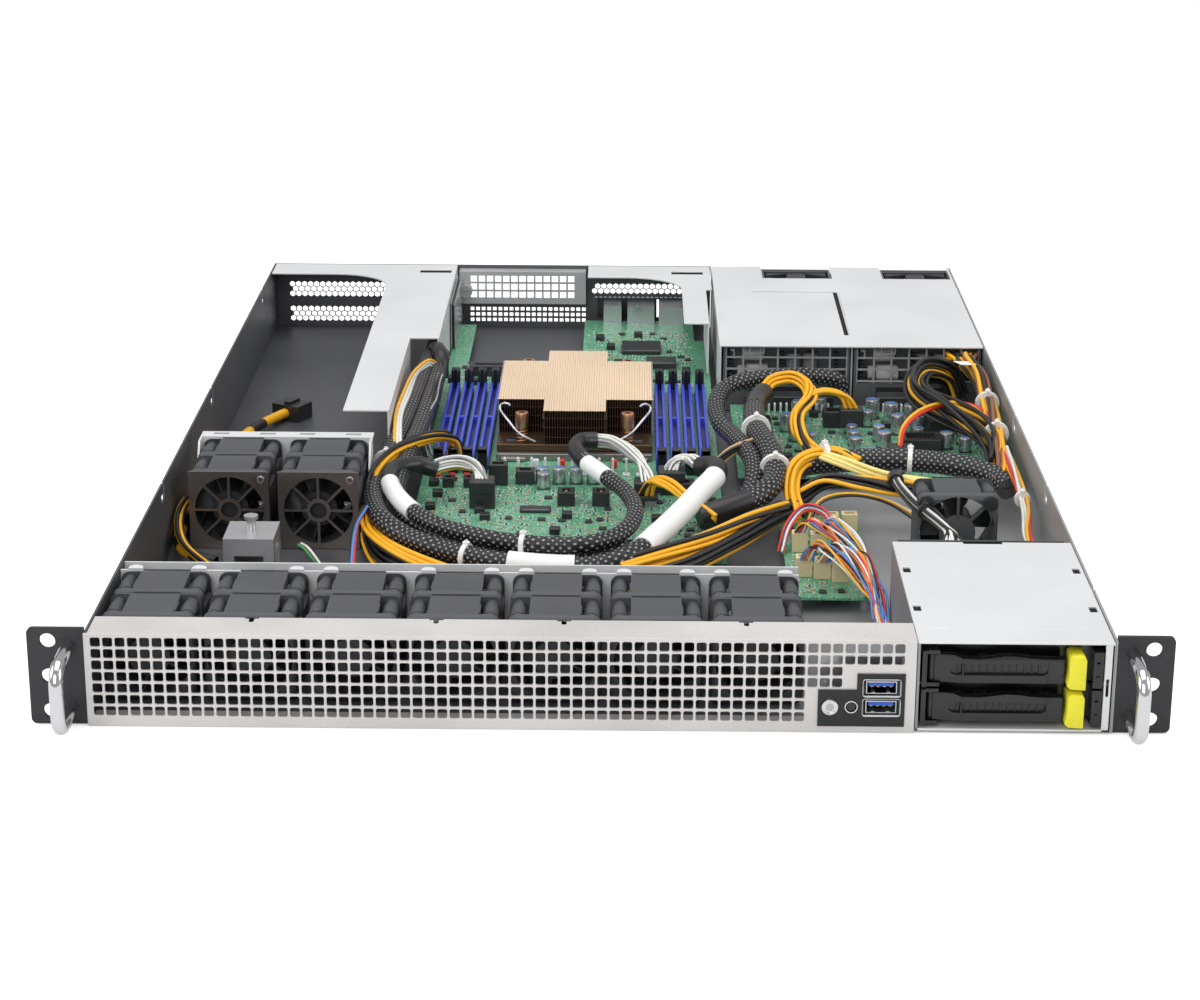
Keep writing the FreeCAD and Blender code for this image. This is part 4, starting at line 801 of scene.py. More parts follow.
class SERVER_OT_free_lead(bpy.types.Operator):
    """Loose accelerator power lead that runs to its plug"""
    bl_idname = "server.free_lead"
    bl_label = "Accelerator lead"

    def execute(self, context):
        route = [(-189, 184, 7), (-203, 190, 8), (-211.8, 208, 8), (-212.7, 234, 9), (-212.6, 264, 8),
                 (-212.7, 296, 9), (-211.6, 330, 8), (-208.4, 362, 7), (-204, 392, 6), (-197, 418, 5.6),
                 (-186, 438, 5.6)]
        shape = bpy.data.curves.new("accelerator_lead", "CURVE")
        shape.dimensions = "3D"
        spline = shape.splines.new("NURBS")
        spline.points.add(len(route) - 1)
        for spot, p in zip(spline.points, route):
            spot.co = (*place(*p), 1)
        spline.order_u = 3
        spline.use_endpoint_u = True
        shape.bevel_depth = 0.0028
        shape.bevel_resolution = 4
        shape.resolution_u = 16
        lead = bpy.data.objects.new("accelerator_lead", shape)
        context.scene.collection.objects.link(lead)
        paint(lead, coat("lead_bundle"))
        keep(lead, "accelerator_lead", "chassis", "wire_yellow", "gpu_power_cable")
        return {"FINISHED"}


class SERVER_OT_sleeves(bpy.types.Operator):
    """Braided data and power cables that the chassis holds, with their shrink ends and labels"""
    bl_idname = "server.sleeves"
    bl_label = "Sleeved cables"

    def execute(self, context):
        trunk = context.scene.server_sizes.trunk_radius * 1000
        braids = [sleeve("trunk_braid", TRUNK, trunk, t1=0.87, sides=6),
                  sleeve("trunk_braid", INNER_TRUNK, 4.8, sides=6),
                  sleeve("loop_braid", LOOP, 4.2, t0=0.24, t1=0.84, sides=6),
                  sleeve("power_braid", SLEEVE, 5.9, t0=0.1, t1=0.9, sides=6),
                  sleeve("arch_braid", ARCH, 4.9, sides=6),
                  sleeve("cross_braid", CROSS_SLEEVE, 6.0, t0=0.03, t1=0.97, sides=6)]
        keep(join(braids), "braided_sleeves", "chassis", "sleeve_black", "sleeved_cables")
        shrunk = [sleeve("shrink", LOOP, 4.6, "heat_shrink", 0.0, 0.13, 5),
                  sleeve("shrink", LOOP, 4.7, "heat_shrink", 0.89, 1.0, 5),
                  sleeve("shrink", TRUNK, 5.6, "heat_shrink", 0.95, 1.0, 5),
                  sleeve("shrink", SLEEVE, 6.4, "heat_shrink", 0.86, 1.0, 5),
                  sleeve("shrink", SLEEVE, 6.2, "heat_shrink", 0.0, 0.14, 5),
                  sleeve("shrink", CURL, 4.2, "heat_shrink", 0.0, 1.0, 5),
                  sleeve("shrink", FAN_FLAT, 4.0, "heat_shrink", 0.0, 0.14, 5),
                  sleeve("shrink", CROSS_SLEEVE, 6.4, "heat_shrink", 0.0, 0.08, 5)]
        keep(join(shrunk), "shrink_ends", "chassis", "sleeve_black")
        labels = [sleeve("label", LOOP, 4.75, "label_white", 0.13, 0.25, 6),
                  sleeve("label", LOOP, 4.6, "label_white", 0.825, 0.895, 6),
                  sleeve("label", TRUNK, 5.8, "label_white", 0.655, 0.71, 6),
                  sleeve("label", TRUNK, 5.8, "label_white", 0.775, 0.95, 6)]
        tag = block(-6, 6, BODY_L / 2 - 4, BODY_L / 2 + 4, -0.15, 0.15)
        tag.data.transform(Matrix.Translation(place(202, 428, 41.2)) @ Matrix.Rotation(0.5, 4, "Z")
                           @ Matrix.Rotation(0.15, 4, "Y"))
        labels.append(paint(tag, coat("label_white")))
        keep(join(labels), "bare_cable_labels", "chassis", "sleeve_black")
        return {"FINISHED"}


class SERVER_OT_wires(bpy.types.Operator):
    """Bundles of single wires, from their connectors into the looms"""
    bl_idname = "server.wires"
    bl_label = "Wire bundles"

    def execute(self, context):
        thick = context.scene.server_sizes.wire_radius * 1000

        def yb(yellow, black):
            return (("wire_yellow", yellow), ("wire_black", black))

        looms = [
            strands("loom", FRONT_WIRES, (("wire_yellow", 4), ("wire_black", 9)), 5.6, 1.05, 0.3, 3),
            strands("loom", FRONT_YELLOW, yb(6, 2), 4.6, thick, 0.3, 4),
            strands("loom", LEFT_ARC, yb(4, 2), 4.2, thick, 0.4, 5, head=(2, 3.2, ACROSS, BACK)),
            strands("loom", RIGHT_RUN, yb(6, 3), 5.4, thick, 0.3, 6),
            strands("loom", RIGHT_YELLOW, yb(6, 2), 4.8, thick, 0.4, 7, tail=(2, 3.0, ACROSS, BACK)),
            strands("loom", YELLOW_HOOK, yb(3, 0), 3.0, thick, 0.3, 23, tail=(1, 3.0, ACROSS, BACK)),
            strands("loom", RIGHT_LOW, yb(6, 1), 5.0, thick, 0.4, 8),
            strands("loom", PALE_RUN, (("wire_pale", 5),), 3.6, thick, 0.4, 24),
            strands("loom", BLACK_RUN, yb(2, 7), 5.0, thick, 0.4, 25, loose=0.5),
            strands("loom", CENTRE_YELLOW, yb(4, 1), 3.8, thick, 0.3, 9, head=(2, 3.0, ACROSS, BACK)),
            strands("loom", PSU_WIRES, (("wire_yellow", 8), ("wire_brown", 4), ("wire_black", 2)), 5.6,
                    thick,
                    0.45, 10, head=(2, 2.8, ACROSS, UP)),
            strands("loom", PSU_BLACK, yb(3, 13), 8.4, thick, 0.5, 11, loose=0.3),
            strands("loom", DRIVE_POWER, (("wire_red", 2), ("wire_yellow", 2), ("wire_white", 2)), 3.2, 0.85,
                    0.5, 12, tail=(1, 2.0, ACROSS, UP)),
            strands("loom", GPU_LEFT, yb(2, 3), 3.6, 1.1, 0.3, 13),
        ]
        keep(join(looms), "power_looms", "chassis", "wire_yellow", "wire_bundles")
        thin = [
            strands("thin", LEFT_THIN, (("wire_yellow", 2), ("wire_orange", 1), ("wire_white", 2)), 3.2, 0.9,
                    0.3, 14),
            strands("thin", LEFT_GREY, (("wire_grey", 3), ("wire_black", 3)), 3.6, 0.6, 0.6, 15, loose=0.8),
            strands("thin", RED_WIRE, (("wire_red", 2), ("wire_yellow", 1)), 2.2, 1.0, 0.8, 16),
            strands("thin", FAN_FLAT, (("wire_white", 4), ("wire_black", 3)), 3.4, 0.8, 0.1, 26,
                    tail=(1, 1.8, ACROSS, UP)),
            strands("thin", [(100, 212, 18), (108, 224, 27), (124, 232, 28), (142, 236, 23), (158, 230, 15)],
                    (("wire_blue", 1), ("wire_yellow", 1), ("wire_black", 1), ("wire_white", 1)),
                    2.0, 0.6, 0.4, 27, loose=0.8),
            strands("thin", [(86, 196, 10), (90, 208, 20), (99, 219, 26), (110, 216, 24), (113, 206, 18)],
                    (("wire_red", 2), ("wire_blue", 2), ("wire_orange", 1), ("wire_white", 1)),
                    2.4, 0.62, 0.4, 28, loose=0.6),
            strands("thin", [(-90, 276, 26), (-84, 279, 27.5), (-76, 284, 27), (-68, 282, 25.5),
                             (-64, 273, 23),
                             (-63, 269, 19)],
                    (("wire_white", 9), ("wire_grey", 6), ("wire_green", 1), ("wire_yellow", 1)), 4.4,
                    0.75, 0.15,
                    17, tail=(4, 2.1, BACK, ACROSS)),
            strands("thin", [(-6, 309, 31), (3, 306, 31), (12, 296, 29), (19, 284, 26), (22, 276, 20)],
                    (("wire_white", 8), ("wire_grey", 6)), 4.2, 0.75, 0.15, 18, tail=(4, 2.0, BACK, ACROSS)),
            strands("thin", [(49, 284, 25), (44, 293, 26), (37, 299, 24), (33, 295, 19)],
                    (("wire_white", 8), ("wire_grey", 5), ("wire_blue", 1)), 4.4, 0.75, 0.1, 19,
                    tail=(4, 2.1, BACK, ACROSS)),
            strands("thin", [(80, 338, 16), (84, 325, 28), (78, 309, 31), (66, 303, 28), (58, 300, 22)],
                    (("wire_tan", 3), ("wire_black", 4)), 3.4, 0.9, 0.3, 20),
            strands("thin", [(-150, 200, 10), (-144, 186, 12), (-133, 160, 11), (-124, 130, 10)],
                    (("wire_red", 1), ("wire_white", 1), ("wire_green", 1), ("wire_black", 1)),
                    2.2, 0.7, 0.4, 21),
            strands("thin", [(-118, 214, 26), (-121, 190, 24), (-120, 160, 20), (-117, 128, 16)],
                    (("wire_red", 1), ("wire_blue", 1), ("wire_black", 1)), 1.8, 0.7, 0.4, 22),
        ]
        thin += [strands("thin", route, RAINBOW, 3.6, 0.56, 0.4, 30 + k, head=(2, 1.8, ACROSS, BACK),
                         tail=(2, 1.4, ACROSS, BACK), loose=0.9) for k, route in enumerate(RAINBOWS)]
        keep(join(thin), "signal_wires", "chassis", "wire_yellow")
        ties = [tie(TRUNK, 0.36, 6.4), tie(TRUNK, 0.60, 5.6), tie(LOOP, 0.46, 4.6), tie(SLEEVE, 0.36, 7.4),
                tie(SLEEVE, 0.66, 7.2), tie(CROSS_SLEEVE, 0.50, 6.4), tie(PSU_WIRES, 0.42, 6.0),
                tie(PSU_WIRES, 0.72, 6.0), tie(RIGHT_LOW, 0.2, 5.2), tie(DRIVE_POWER, 0.45, 3.4),
                tie(FAN_FLAT, 0.62, 3.4, "part_black")]
        keep(join(ties), "cable_ties", "chassis", "sleeve_black")
        return {"FINISHED"}


class SERVER_OT_plugs(bpy.types.Operator):
    """Connector housings at the ends of the looms"""
    bl_idname = "server.plugs"
    bl_label = "Connectors"

    def execute(self, context):
        dark = [block(-70, -57, 262, 274, 16, 23, 0.5), block(14.5, 29, 270, 281, 15, 20.5, 0.5),
                block(27, 41, 288, 301, 15, 20.5, 0.5), block(-89, -75, 331, 341, 9, 15, 0.4),
                block(196, 211, 134, 141, 20, 28, 0.5), block(129, 142, 391, 401, 14, 24, 0.5),
                block(107, 121, 331, 341, 8.6, 16, 0.5), block(151, 165, 335, 345, 12, 20, 0.5),
                block(14, 27, 263, 271, 13, 15.5, 0.4), block(78, 88, 332, 342, 8.8, 17, 0.4)]
        keep(paint(join(dark), coat("part_black")), "loom_connectors", "chassis", "part_black")
        return {"FINISHED"}


# ---------------------------------------------------------------- fans
FAN = 40.0                # side of a fan
FAN_MODULE = 28.0         # depth of one of its two stages
FAN_Z = 21.3              # height of every fan's axis
WALL_FANS = [-194.5 + 43.7 * k for k in range(7)]
BAY_FAN_X = 172.0
PEGS = (-14.2, 14.2)      # rubber pegs beside a fan's axis


def fan_module(x, d0, z, mirrored=False):
    """One 28 mm housing: two flanges with round lugs, a slimmer barrel and four screw posts."""
    half = FAN / 2
    d1 = d0 + FAN_MODULE
    body = block(x - half, x + half, d0, d1, z - half, z + half)
    round_uprights(body, 3.6, 4)
    tools = []
    for sx in (-1, 1):
        for sz in (-1, 1):
            xs = sorted((x + sx * 11.0, x + sx * (half + 1)))
            zs = sorted((z + sz * 10.5, z + sz * (half + 1)))
            tools.append(block(xs[0], xs[1], d0 + 3.6, d1 - 3.6, zs[0], zs[1]))
    subtract(body, tools)
    subtract(body, [rod(x, d0 - 1, z, 18.5, FAN_MODULE + 2, "y", 40)])
    soften(body, 0.45, 2, 50)
    parts = [body]
    for sx in (-1, 1):
        for sz in (-1, 1):
            post = rod(x + sx * 15.8, d0 + 3.4, z + sz * 15.8, 2.9, FAN_MODULE - 6.8, "y", 14)
            lug = rod(x + sx * 15.8, d0 + 9.0, z + sz * 15.8, 3.5, 10.0, "y", 14, 0.5)
            parts += [post, lug]
    side = -1 if mirrored else 1
    for sz in (-1, 1):
        parts.append(block(x + side * 10.2, x + side * 11.6, d0 + 6, d0 + 16, z + sz * 19.0 - 0.9,
                           z + sz * 19.0 + 0.9, 0.2))
    spine = block(x - 10.6, x + 10.6, d1 - 0.5, d1 + 0.1, z + half - 0.55, z + half - 0.1)
    return smooth(paint(join(parts + [spine]), coat("fan_black")), 40)


def cross_screw(x, d, z, radius, tone="port_steel"):
    """Round-headed screw with a cross recess that faces the front."""
    head = rod(x, d - 1.1, z, radius, 1.2, "y", 18, 0.45)
    subtract(head, [block(x - radius * 0.62, x + radius * 0.62, d - 2, d - 0.6, z - 0.28, z + 0.28),
                    block(x - 0.28, x + 0.28, d - 2, d - 0.6, z - radius * 0.62, z + radius * 0.62)])
    return smooth(paint(head, coat(tone)), 40)


class SERVER_OT_fans(bpy.types.Operator):
    """Fan housings, guards' screws and rubber posts"""
    bl_idname = "server.fans"
    bl_label = "Fans"

    def execute(self, context):
        z = FAN_Z
        first = join([fan_module(WALL_FANS[0], 24.6, z), fan_module(WALL_FANS[0], 52.6, z, True)])
        offsets = [(43.7 * k, 0, 0) for k in range(7)]
        gpu = first.copy()
        gpu.data = first.data.copy()
        context.scene.collection.objects.link(gpu)
        keep(join(copy_to(first, offsets)), "front_fan_housings", "chassis", "fan_black", "front_fan_frames")
        keep(join(copy_to(gpu, [(7.5, 197.4, 0), (51.9, 197.4, 0)])), "bay_fan_housings", "chassis",
             "fan_black", "gpu_fan_frames")
        x = BAY_FAN_X
        small = [fan_module(x, 194.0, z)]
        for k in range(4):
            angle = math.pi / 4 + k * math.pi / 2
            spoke = block(-0.9, 0.9, 194.6, 197.0, 8.5, 18.6, 0.3)
            spoke.data.transform(Matrix.Translation(place(x, BODY_L / 2, z))
                                 @ Matrix.Rotation(angle, 4, "Y"))
            small.append(paint(spoke, coat("fan_black")))
        small.append(slab("fan_black", x - 0.8, x + 0.8, 194.2, 195.4, 29.0, 39.8, 0.3))
        for dx in (-15.6, 15.6):
            for dz in (-15.6, 15.6):
                small.append(smooth(pole("part_black", x + dx, 193.2, z + dz, 3.9, 1.4, "y", 24, 0.3), 40))
        small.append(smooth(pole("fan_black", x, 194.6, z, 9.0, 2.4, "y", 28, 0.5), 40))
        keep(join(small), "single_fan_housing", "chassis", "fan_black", "bay_fan_frame")
        screws = []
        for x in (-187.0, -142.6):
            for dx, dz in ((-16, 16), (-16, -16), (16, -16)):
                screws.append(cross_screw(x + dx, 220.4, z + dz, 2.5))
            rivet = ring(x + 16, 220.2, z + 16, 1.5, 0.5, "y", 16, 6)
            screws.append(smooth(paint(rivet, coat("port_steel"))))
            for dx in (-15.8, 15.8):
                eye = ring(x + dx, 271.5, 38.6, 1.6, 0.75, "z", 16, 6)
                screws.append(smooth(paint(eye, coat("port_steel"))))
        keep(join(screws), "guard_screws", "chassis", "guard_steel")
        return {"FINISHED"}


class SERVER_OT_fan_wall(bpy.types.Operator):
    """Folded sheet walls behind the fans, with their notches"""
    bl_idname = "server.fan_wall"
    bl_label = "Fan wall"

    def execute(self, context):
        top = block(-215.6, 88.0, 81.3, 92.4, 40.5, 41.5)
        notches = []
        for x in WALL_FANS:
            notches += [rod(x + dx, 82.4, 39, 3.3, 4, "z", 16) for dx in PEGS]
            notches += [block(x + dx - 3.3, x + dx + 3.3, 80, 82.4, 39, 43) for dx in PEGS]
        notches += [block(x, x + 9, 88.5, 94, 39, 43) for x in (-185.0, -116.0, 12.0)]
        subtract(top, notches)
        wall = block(-215.6, 88.0, 81.3, 82.3, 1.2, 40.6)
        subtract(wall, [rod(x, 80, FAN_Z, 18.4, 4, "y", 36) for x in WALL_FANS])
        foot = block(-215.6, 88.0, 82.2, 92.4, 1.1, 2.1)
        lip = block(-215.6, 88.0, 91.6, 92.4, 36.0, 40.6)
        sheet = join([top, wall, foot, lip])
        soften(sheet, 0.2)
        keep(paint(sheet, coat("cover_grey")), "fan_wall_sheet", "chassis", "cover_grey", "fan_wall_bracket")
        pegs = [rod(x + dx, 82.6, 37.4, 2.2, 2.6, "z", 14, 0.4) for x in WALL_FANS for dx in PEGS]
        keep(smooth(paint(join(pegs), coat("part_black"))), "fan_wall_pegs", "chassis", "fan_black")
        return {"FINISHED"}


# ---------------------------------------------------------------- processor cooler
CPU_X, SINK_D = -17.8, 407.0


class SERVER_OT_cooler(bpy.types.Operator):
    """Stack of folded fins on its base, spring screws, wire locks and the bolster frame"""
    bl_idname = "server.cooler"
    bl_label = "Processor cooler"

    def execute(self, context):
        half = 42.2
        fins = context.scene.server_sizes.fins
        pitch = 2 * half / fins
        tops, webs = [], []
        for k in range(fins):
            x = CPU_X - half + pitch * (k + 0.5)
            reach = 59.75 if abs(x - CPU_X) < 17.5 else 38.0
            wide = pitch * 0.47
            tops.append(block(x - wide, x + wide, SINK_D - reach, SINK_D + reach, 35.45, 36.0, 0.14))
            webs.append(block(x - 0.17, x + 0.17, SINK_D - reach + 0.1, SINK_D + reach, 16.6, 35.5))
        for z in (20.5, 26.0, 31.0):
            webs.append(block(CPU_X - half, CPU_X + half, SINK_D - 37.9, SINK_D + 37.9, z, z + 0.25))
            webs.append(block(CPU_X - 17.4, CPU_X + 17.4, SINK_D - 59.6, SINK_D + 59.6, z, z + 0.25))
        tops = join(tops)
        paint(tops, coat("sink_copper"))
        # webs, cross plates and base take the darkened copper: painted shade between and under the fins
        webs = paint(join(webs), coat("fin_brown"))
        ends = [slab("port_steel", x - 0.5, x + 0.5, SINK_D - 38, SINK_D + 38, 14.0, 36.0, 0.2)
                for x in (CPU_X - half, CPU_X + half)]
        base = slab("fin_brown", CPU_X - half, CPU_X + half, SINK_D - 59.7, SINK_D + 59.7, 12.7, 16.6, 0.4)
        stack = join([tops, webs, base] + ends)
        keep(stack, "fin_stack", "chassis", "sink_copper", "heatsink")
        screws, wires, black = [], [], []
        for sx in (-1, 1):
            for sd in (-1, 1):
                x, d = CPU_X + sx * 28.7, SINK_D + sd * 52.0
                cap = rod(x, d, 24.0, 3.6, 8.6, "z", 24, 0.5)
                subtract(cap, [rod(x, d, 30.0, 1.9, 4, "z", 6)])
                screws.append(smooth(paint(cap, coat("screw_copper"))))
                screws.append(smooth(pole("screw_copper", x, d, 12.7, 2.2, 12.0, "z", 14)))
                coil = [(x + 3.0 * math.cos(t * 0.5), d + 3.0 * math.sin(t * 0.5), 14.0 + t * 0.14)
                        for t in range(72)]
                screws.append(curve_mesh("spring", [coil], 0.45, [0], ["screw_copper"]))
                black.append(block(x - 4.6, x + 4.6, d - 4.6, d + 4.6, 12.7, 14.2, 0.5))
                black.append(block(x - 3.6 + sx * 5, x + 3.6 + sx * 5, d - 2.4, d + 2.4, 12.7, 17.5, 0.8))
                far = CPU_X + sx * 40.5
                near_d = SINK_D + sd * 39.2
                wires.append([(far, near_d, 33.0), (far + sx * 0.6, near_d + sd * 1.2, 30.5),
                              (far - sx * 4.0, d - sd * 3.2, 27.0), (x + sx * 1.0, d + sd * 4.4, 21.5),
                              (x - sx * 7.5, d + sd * 5.2, 17.4)])
                wires.append([(far, near_d, 33.0), (far - sx * 3.0, near_d + sd * 0.6, 34.0),
                              (far - sx * 5.0, near_d + sd * 1.0, 32.6)])
        keep(join(screws), "spring_screws", "chassis", "screw_copper", "heatsink_screws")
        bent = curve_mesh("locks", [along(w, 1.2) for w in wires], 0.75, [0] * len(wires), ["port_steel"], 2)
        keep(bent, "wire_locks", "chassis", "port_steel")
        keep(paint(join(black), coat("part_black")), "cooler_clips", "chassis", "part_black")
        frame_low = block(CPU_X - half, CPU_X + half, SINK_D - 63.7, SINK_D + 63.7, 8.7, 12.5)
        subtract(frame_low, [block(CPU_X - half + 14, CPU_X + half - 14, SINK_D - 43, SINK_D + 43, 8, 13)])
        soften(frame_low, 0.4, 2)
        feet = [block(CPU_X + s * 33 - 7, CPU_X + s * 33 + 7, SINK_D - 66.4, SINK_D - 63.0, 8.7, 11.0, 0.5)
                for s in (-1, 1)]
        keep(paint(join([frame_low] + feet), coat("frame_steel")), "bolster_frame", "chassis", "frame_steel",
             "cpu_frame")
        return {"FINISHED"}


# ---------------------------------------------------------------- memory
def memory_places():
    return [-89.8 + 7.8 * k for k in range(4)] + [29.3 + 7.8 * k for k in range(4)]


class SERVER_OT_memory(bpy.types.Operator):
    """Memory sockets with their two rails, end towers and tipping latches"""
    bl_idname = "server.memory"
    bl_label = "Memory sockets"

    def execute(self, context):
        shifts = [(x, 0, 0) for x in memory_places()]
        rail = [block(dx, dx + 1.7, 326, 470, 8.6, 15.6, 0.25) for dx in (-2.9, 1.2)]
        rail.append(block(-2.9, 2.9, 326, 470, 8.6, 11.6))
        rail.append(block(-1.4, 1.4, 402, 404.5, 11.4, 15.4, 0.2))
        for d in range(334, 466, 6):
            rail.append(block(-2.95, -2.6, d, d + 2.4, 9.0, 14.6))
        rails = paint(join(rail), coat("socket_blue"))
        parts = copy_to(rails, shifts)
        # navy strip on the groove floor between the rails: painted shade in the groove
        parts += copy_to(slab("latch_navy", -1.2, 1.2, 328, 468, 11.5, 11.9), shifts)
        keep(join(parts), "socket_rails", "chassis", "socket_blue", "memory_sockets")
        for side, body in ((-1, "memory_latches_front"), (1, "memory_latches_rear")):
            near = 326 - 0.3 if side < 0 else 470.3
            far = near + side * 6.4
            lo, hi = sorted((near, far))
            latch = block(-2.5, 2.5, lo, hi, 8.9, 22.6, 0.5, 2)
            groove = (lo - 1, lo + 2.2) if side > 0 else (hi - 2.2, hi + 1)
            subtract(latch, [block(-0.8, 0.8, *groove, 12, 24)])
            start = min(far, far - side * 1.2) - 0.2
            subtract(latch, [rod(0, start, z, 0.95, 1.6, "y", 14) for z in (13.0, 18.8)])
            thumb = block(-2.5, 2.5, *sorted((far - side * 2.2, far)), 19.8, 22.8, 0.4)
            made = smooth(join([latch, thumb]), 40)
            paint(made, coat("latch_black"))
            keep(join(copy_to(made, shifts)), body + "_grips", body, "latch_black", body)
        return {"FINISHED"}


# ---------------------------------------------------------------- boards and their parts
BOARD_TOP = 8.6


def board_finish():
    """Solder mask over fine copper tracks, with plated holes."""
    made = finish("board_mask", linear("33845C"), 0.38, scale=500, bump=0.1, spread=0.2, lacquer=0.3)
    nodes, links, shader = tree(made)
    below = shader.inputs["Base Color"].links[0].from_socket
    where = nodes.new("ShaderNodeTexCoord")
    edges = "DISTANCE_TO_EDGE"
    layers = ((edges, 230.0, 0.05, "7FC49E", 0.5), (edges, 620.0, 0.10, "9AD3B2", 0.5),
              ("F1", 420.0, 0.17, "D9DED8", 0.85))
    for feature, scale, limit, code, strength in layers:
        cells = nodes.new("ShaderNodeTexVoronoi")
        cells.feature = feature
        cells.distance = "MANHATTAN" if feature == "F1" else cells.distance
        cells.inputs["Scale"].default_value = scale
        links.new(where.outputs["Object"], cells.inputs["Vector"])
        mask = nodes.new("ShaderNodeMath")
        mask.operation = "LESS_THAN"
        mask.inputs[1].default_value = limit
        links.new(cells.outputs["Distance"], mask.inputs[0])
        amount = nodes.new("ShaderNodeMath")
        amount.operation = "MULTIPLY"
        amount.inputs[1].default_value = strength
        links.new(mask.outputs["Value"], amount.inputs[0])
        blend = nodes.new("ShaderNodeMix")
        blend.data_type = "RGBA"
        blend.inputs["B"].default_value = (*linear(code), 1)
        links.new(amount.outputs["Value"], blend.inputs["Factor"])
        links.new(below, blend.inputs["A"])
        below = blend.outputs["Result"]
    links.new(below, shader.inputs["Base Color"])
    return made


def chip_part(kind):
    """One small board part, centred at the origin of the board's top."""
    d = BODY_L / 2
    if kind == "capacitor":
        body = slab("wire_tan", -0.5, 0.5, d - 0.45, d + 0.45, 0, 0.9, 0.08)
        ends = [slab("can_silver", s * 0.75 - 0.3, s * 0.75 + 0.3, d - 0.5, d + 0.5, 0, 0.95, 0.08)
                for s in (-1, 1)]
    elif kind == "resistor":
        body = slab("part_black", -0.6, 0.6, d - 0.45, d + 0.45, 0, 0.5, 0.05)
        ends = [slab("mark_white", s * 0.85 - 0.3, s * 0.85 + 0.3, d - 0.5, d + 0.5, 0, 0.5, 0.05)
                for s in (-1, 1)]
    elif kind == "regulator":
        body = slab("part_black", -2.0, 2.0, d - 1.6, d + 1.6, 0.1, 1.2, 0.15)
        ends = [slab("can_silver", 0.85 * k - 1.9, 0.85 * k - 1.5, d - 2.3, d + 2.3, 0, 0.35)
                for k in range(5)]
    elif kind == "coil":
        body = slab("dark_steel", -2.6, 2.6, d - 2.6, d + 2.6, 0.1, 3.4, 0.4, 2)
        ends = [slab("can_silver", s * 2.4 - 0.4, s * 2.4 + 0.4, d - 1.2, d + 1.2, 0, 0.5) for s in (-1, 1)]
    else:
        body = slab("mark_white", -0.9, 0.9, d - 0.15, d + 0.15, 0, 0.12)
        ends = [slab("mark_white", -0.9, -0.6, d - 0.15, d + 1.3, 0, 0.12)]
    return join([body] + ends)


def scattered(areas, kind, count, seed, taken):
    """Copies of one small part over parts of a board, in rows, clear of what is there."""
    dice = random.Random(seed)
    pattern = chip_part(kind)
    quarter = Matrix.Rotation(math.pi / 2, 4, "Z")
    turned = pattern.copy()
    turned.data = pattern.data.copy()
    bpy.context.scene.collection.objects.link(turned)
    turned.data.transform(quarter)
    spots = ([], [])
    reach = {"capacitor": 1.3, "resistor": 1.3, "regulator": 2.8, "coil": 3.4}.get(kind, 1.2)
    tries = 0
    while len(spots[0]) + len(spots[1]) < count and tries < count * 12:
        tries += 1
        x0, x1, d0, d1 = dice.choices(areas, [(a[1] - a[0]) * (a[3] - a[2]) for a in areas])[0]
        x = x0 + round(dice.uniform(0, x1 - x0) / 0.8) * 0.8
        d = d0 + round(dice.uniform(0, d1 - d0) / 0.8) * 0.8
        if all(abs(x - a) > reach + w or abs(d - b) > reach + h for a, b, w, h in taken):
            spots[dice.random() < 0.5].append((x, d - BODY_L / 2, BOARD_TOP))
            if kind != "print":
                taken.append((x, d, reach * 0.8, reach * 0.8))
    made = []
    for piece, places in zip((pattern, turned), spots):
        if places:
            made += copy_to(piece, places)
        else:
            bpy.data.objects.remove(piece)
    return join(made)


def sown(areas, taken, seed, *kinds, name):
    """Small parts of several (kind, count) over a board, as one piece; each kind has the next seed."""
    small = [scattered(areas, kind, count, seed + k, taken) for k, (kind, count) in enumerate(kinds)]
    keep(join(small), name, "chassis", "part_black")


def can(x, d, z, radius, height, tone="wire_blue"):
    """Electrolytic can on its square foot, with a coloured segment on top."""
    body = rod(x, d, z + 0.6, radius, height - 0.6, "z", 24, 0.35)
    choose(body)
    paint(body, coat("can_silver"))
    smooth(body)
    foot = slab("part_black", x - radius, x + radius, d - radius, d + radius, z, z + 0.9, 0.3)
    deselect()
    bpy.ops.mesh.primitive_cylinder_add(vertices=24, radius=radius * 0.86 / 1000, depth=0.00006,
                                        location=place(x, d, z + height + 0.03))
    mark = settle(bpy.context.object)
    choose(mark)
    bpy.ops.object.mode_set(mode="EDIT")
    bpy.ops.mesh.select_all(action="SELECT")
    bpy.ops.mesh.bisect(plane_co=place(x, d + radius * 0.25, 0), plane_no=(0, 1, 0), use_fill=True,
                        clear_inner=True)
    bpy.ops.object.mode_set(mode="OBJECT")
    return join([body, foot, paint(mark, coat(tone))])


def header(x0, x1, d0, d1, z0, z1, tone, slot_wide=0.5):
    """Open-topped connector with pins in its well."""
    shell = block(x0, x1, d0, d1, z0, z1, 0.3)
    wall = min(x1 - x0, d1 - d0) * (1 - slot_wide) / 2
    subtract(shell, [block(x0 + wall, x1 - wall, d0 + wall, d1 - wall, z0 + 1.5, z1 + 1)])
    paint(shell, coat(tone))
    pins = []
    along_x = x1 - x0 > d1 - d0
    count = max(2, int(((x1 - x0) if along_x else (d1 - d0)) / 2.0) - 1)
    for k in range(count):
        t = (k + 0.5) / count
        x = x0 + wall + (x1 - x0 - 2 * wall) * t if along_x else (x0 + x1) / 2
        d = (d0 + d1) / 2 if along_x else d0 + wall + (d1 - d0 - 2 * wall) * t
        pins.append(block(x - 0.25, x + 0.25, d - 0.25, d + 0.25, z0 + 1, z1 - 1))
    return join([shell, paint(join(pins), coat("pin_gold"))])


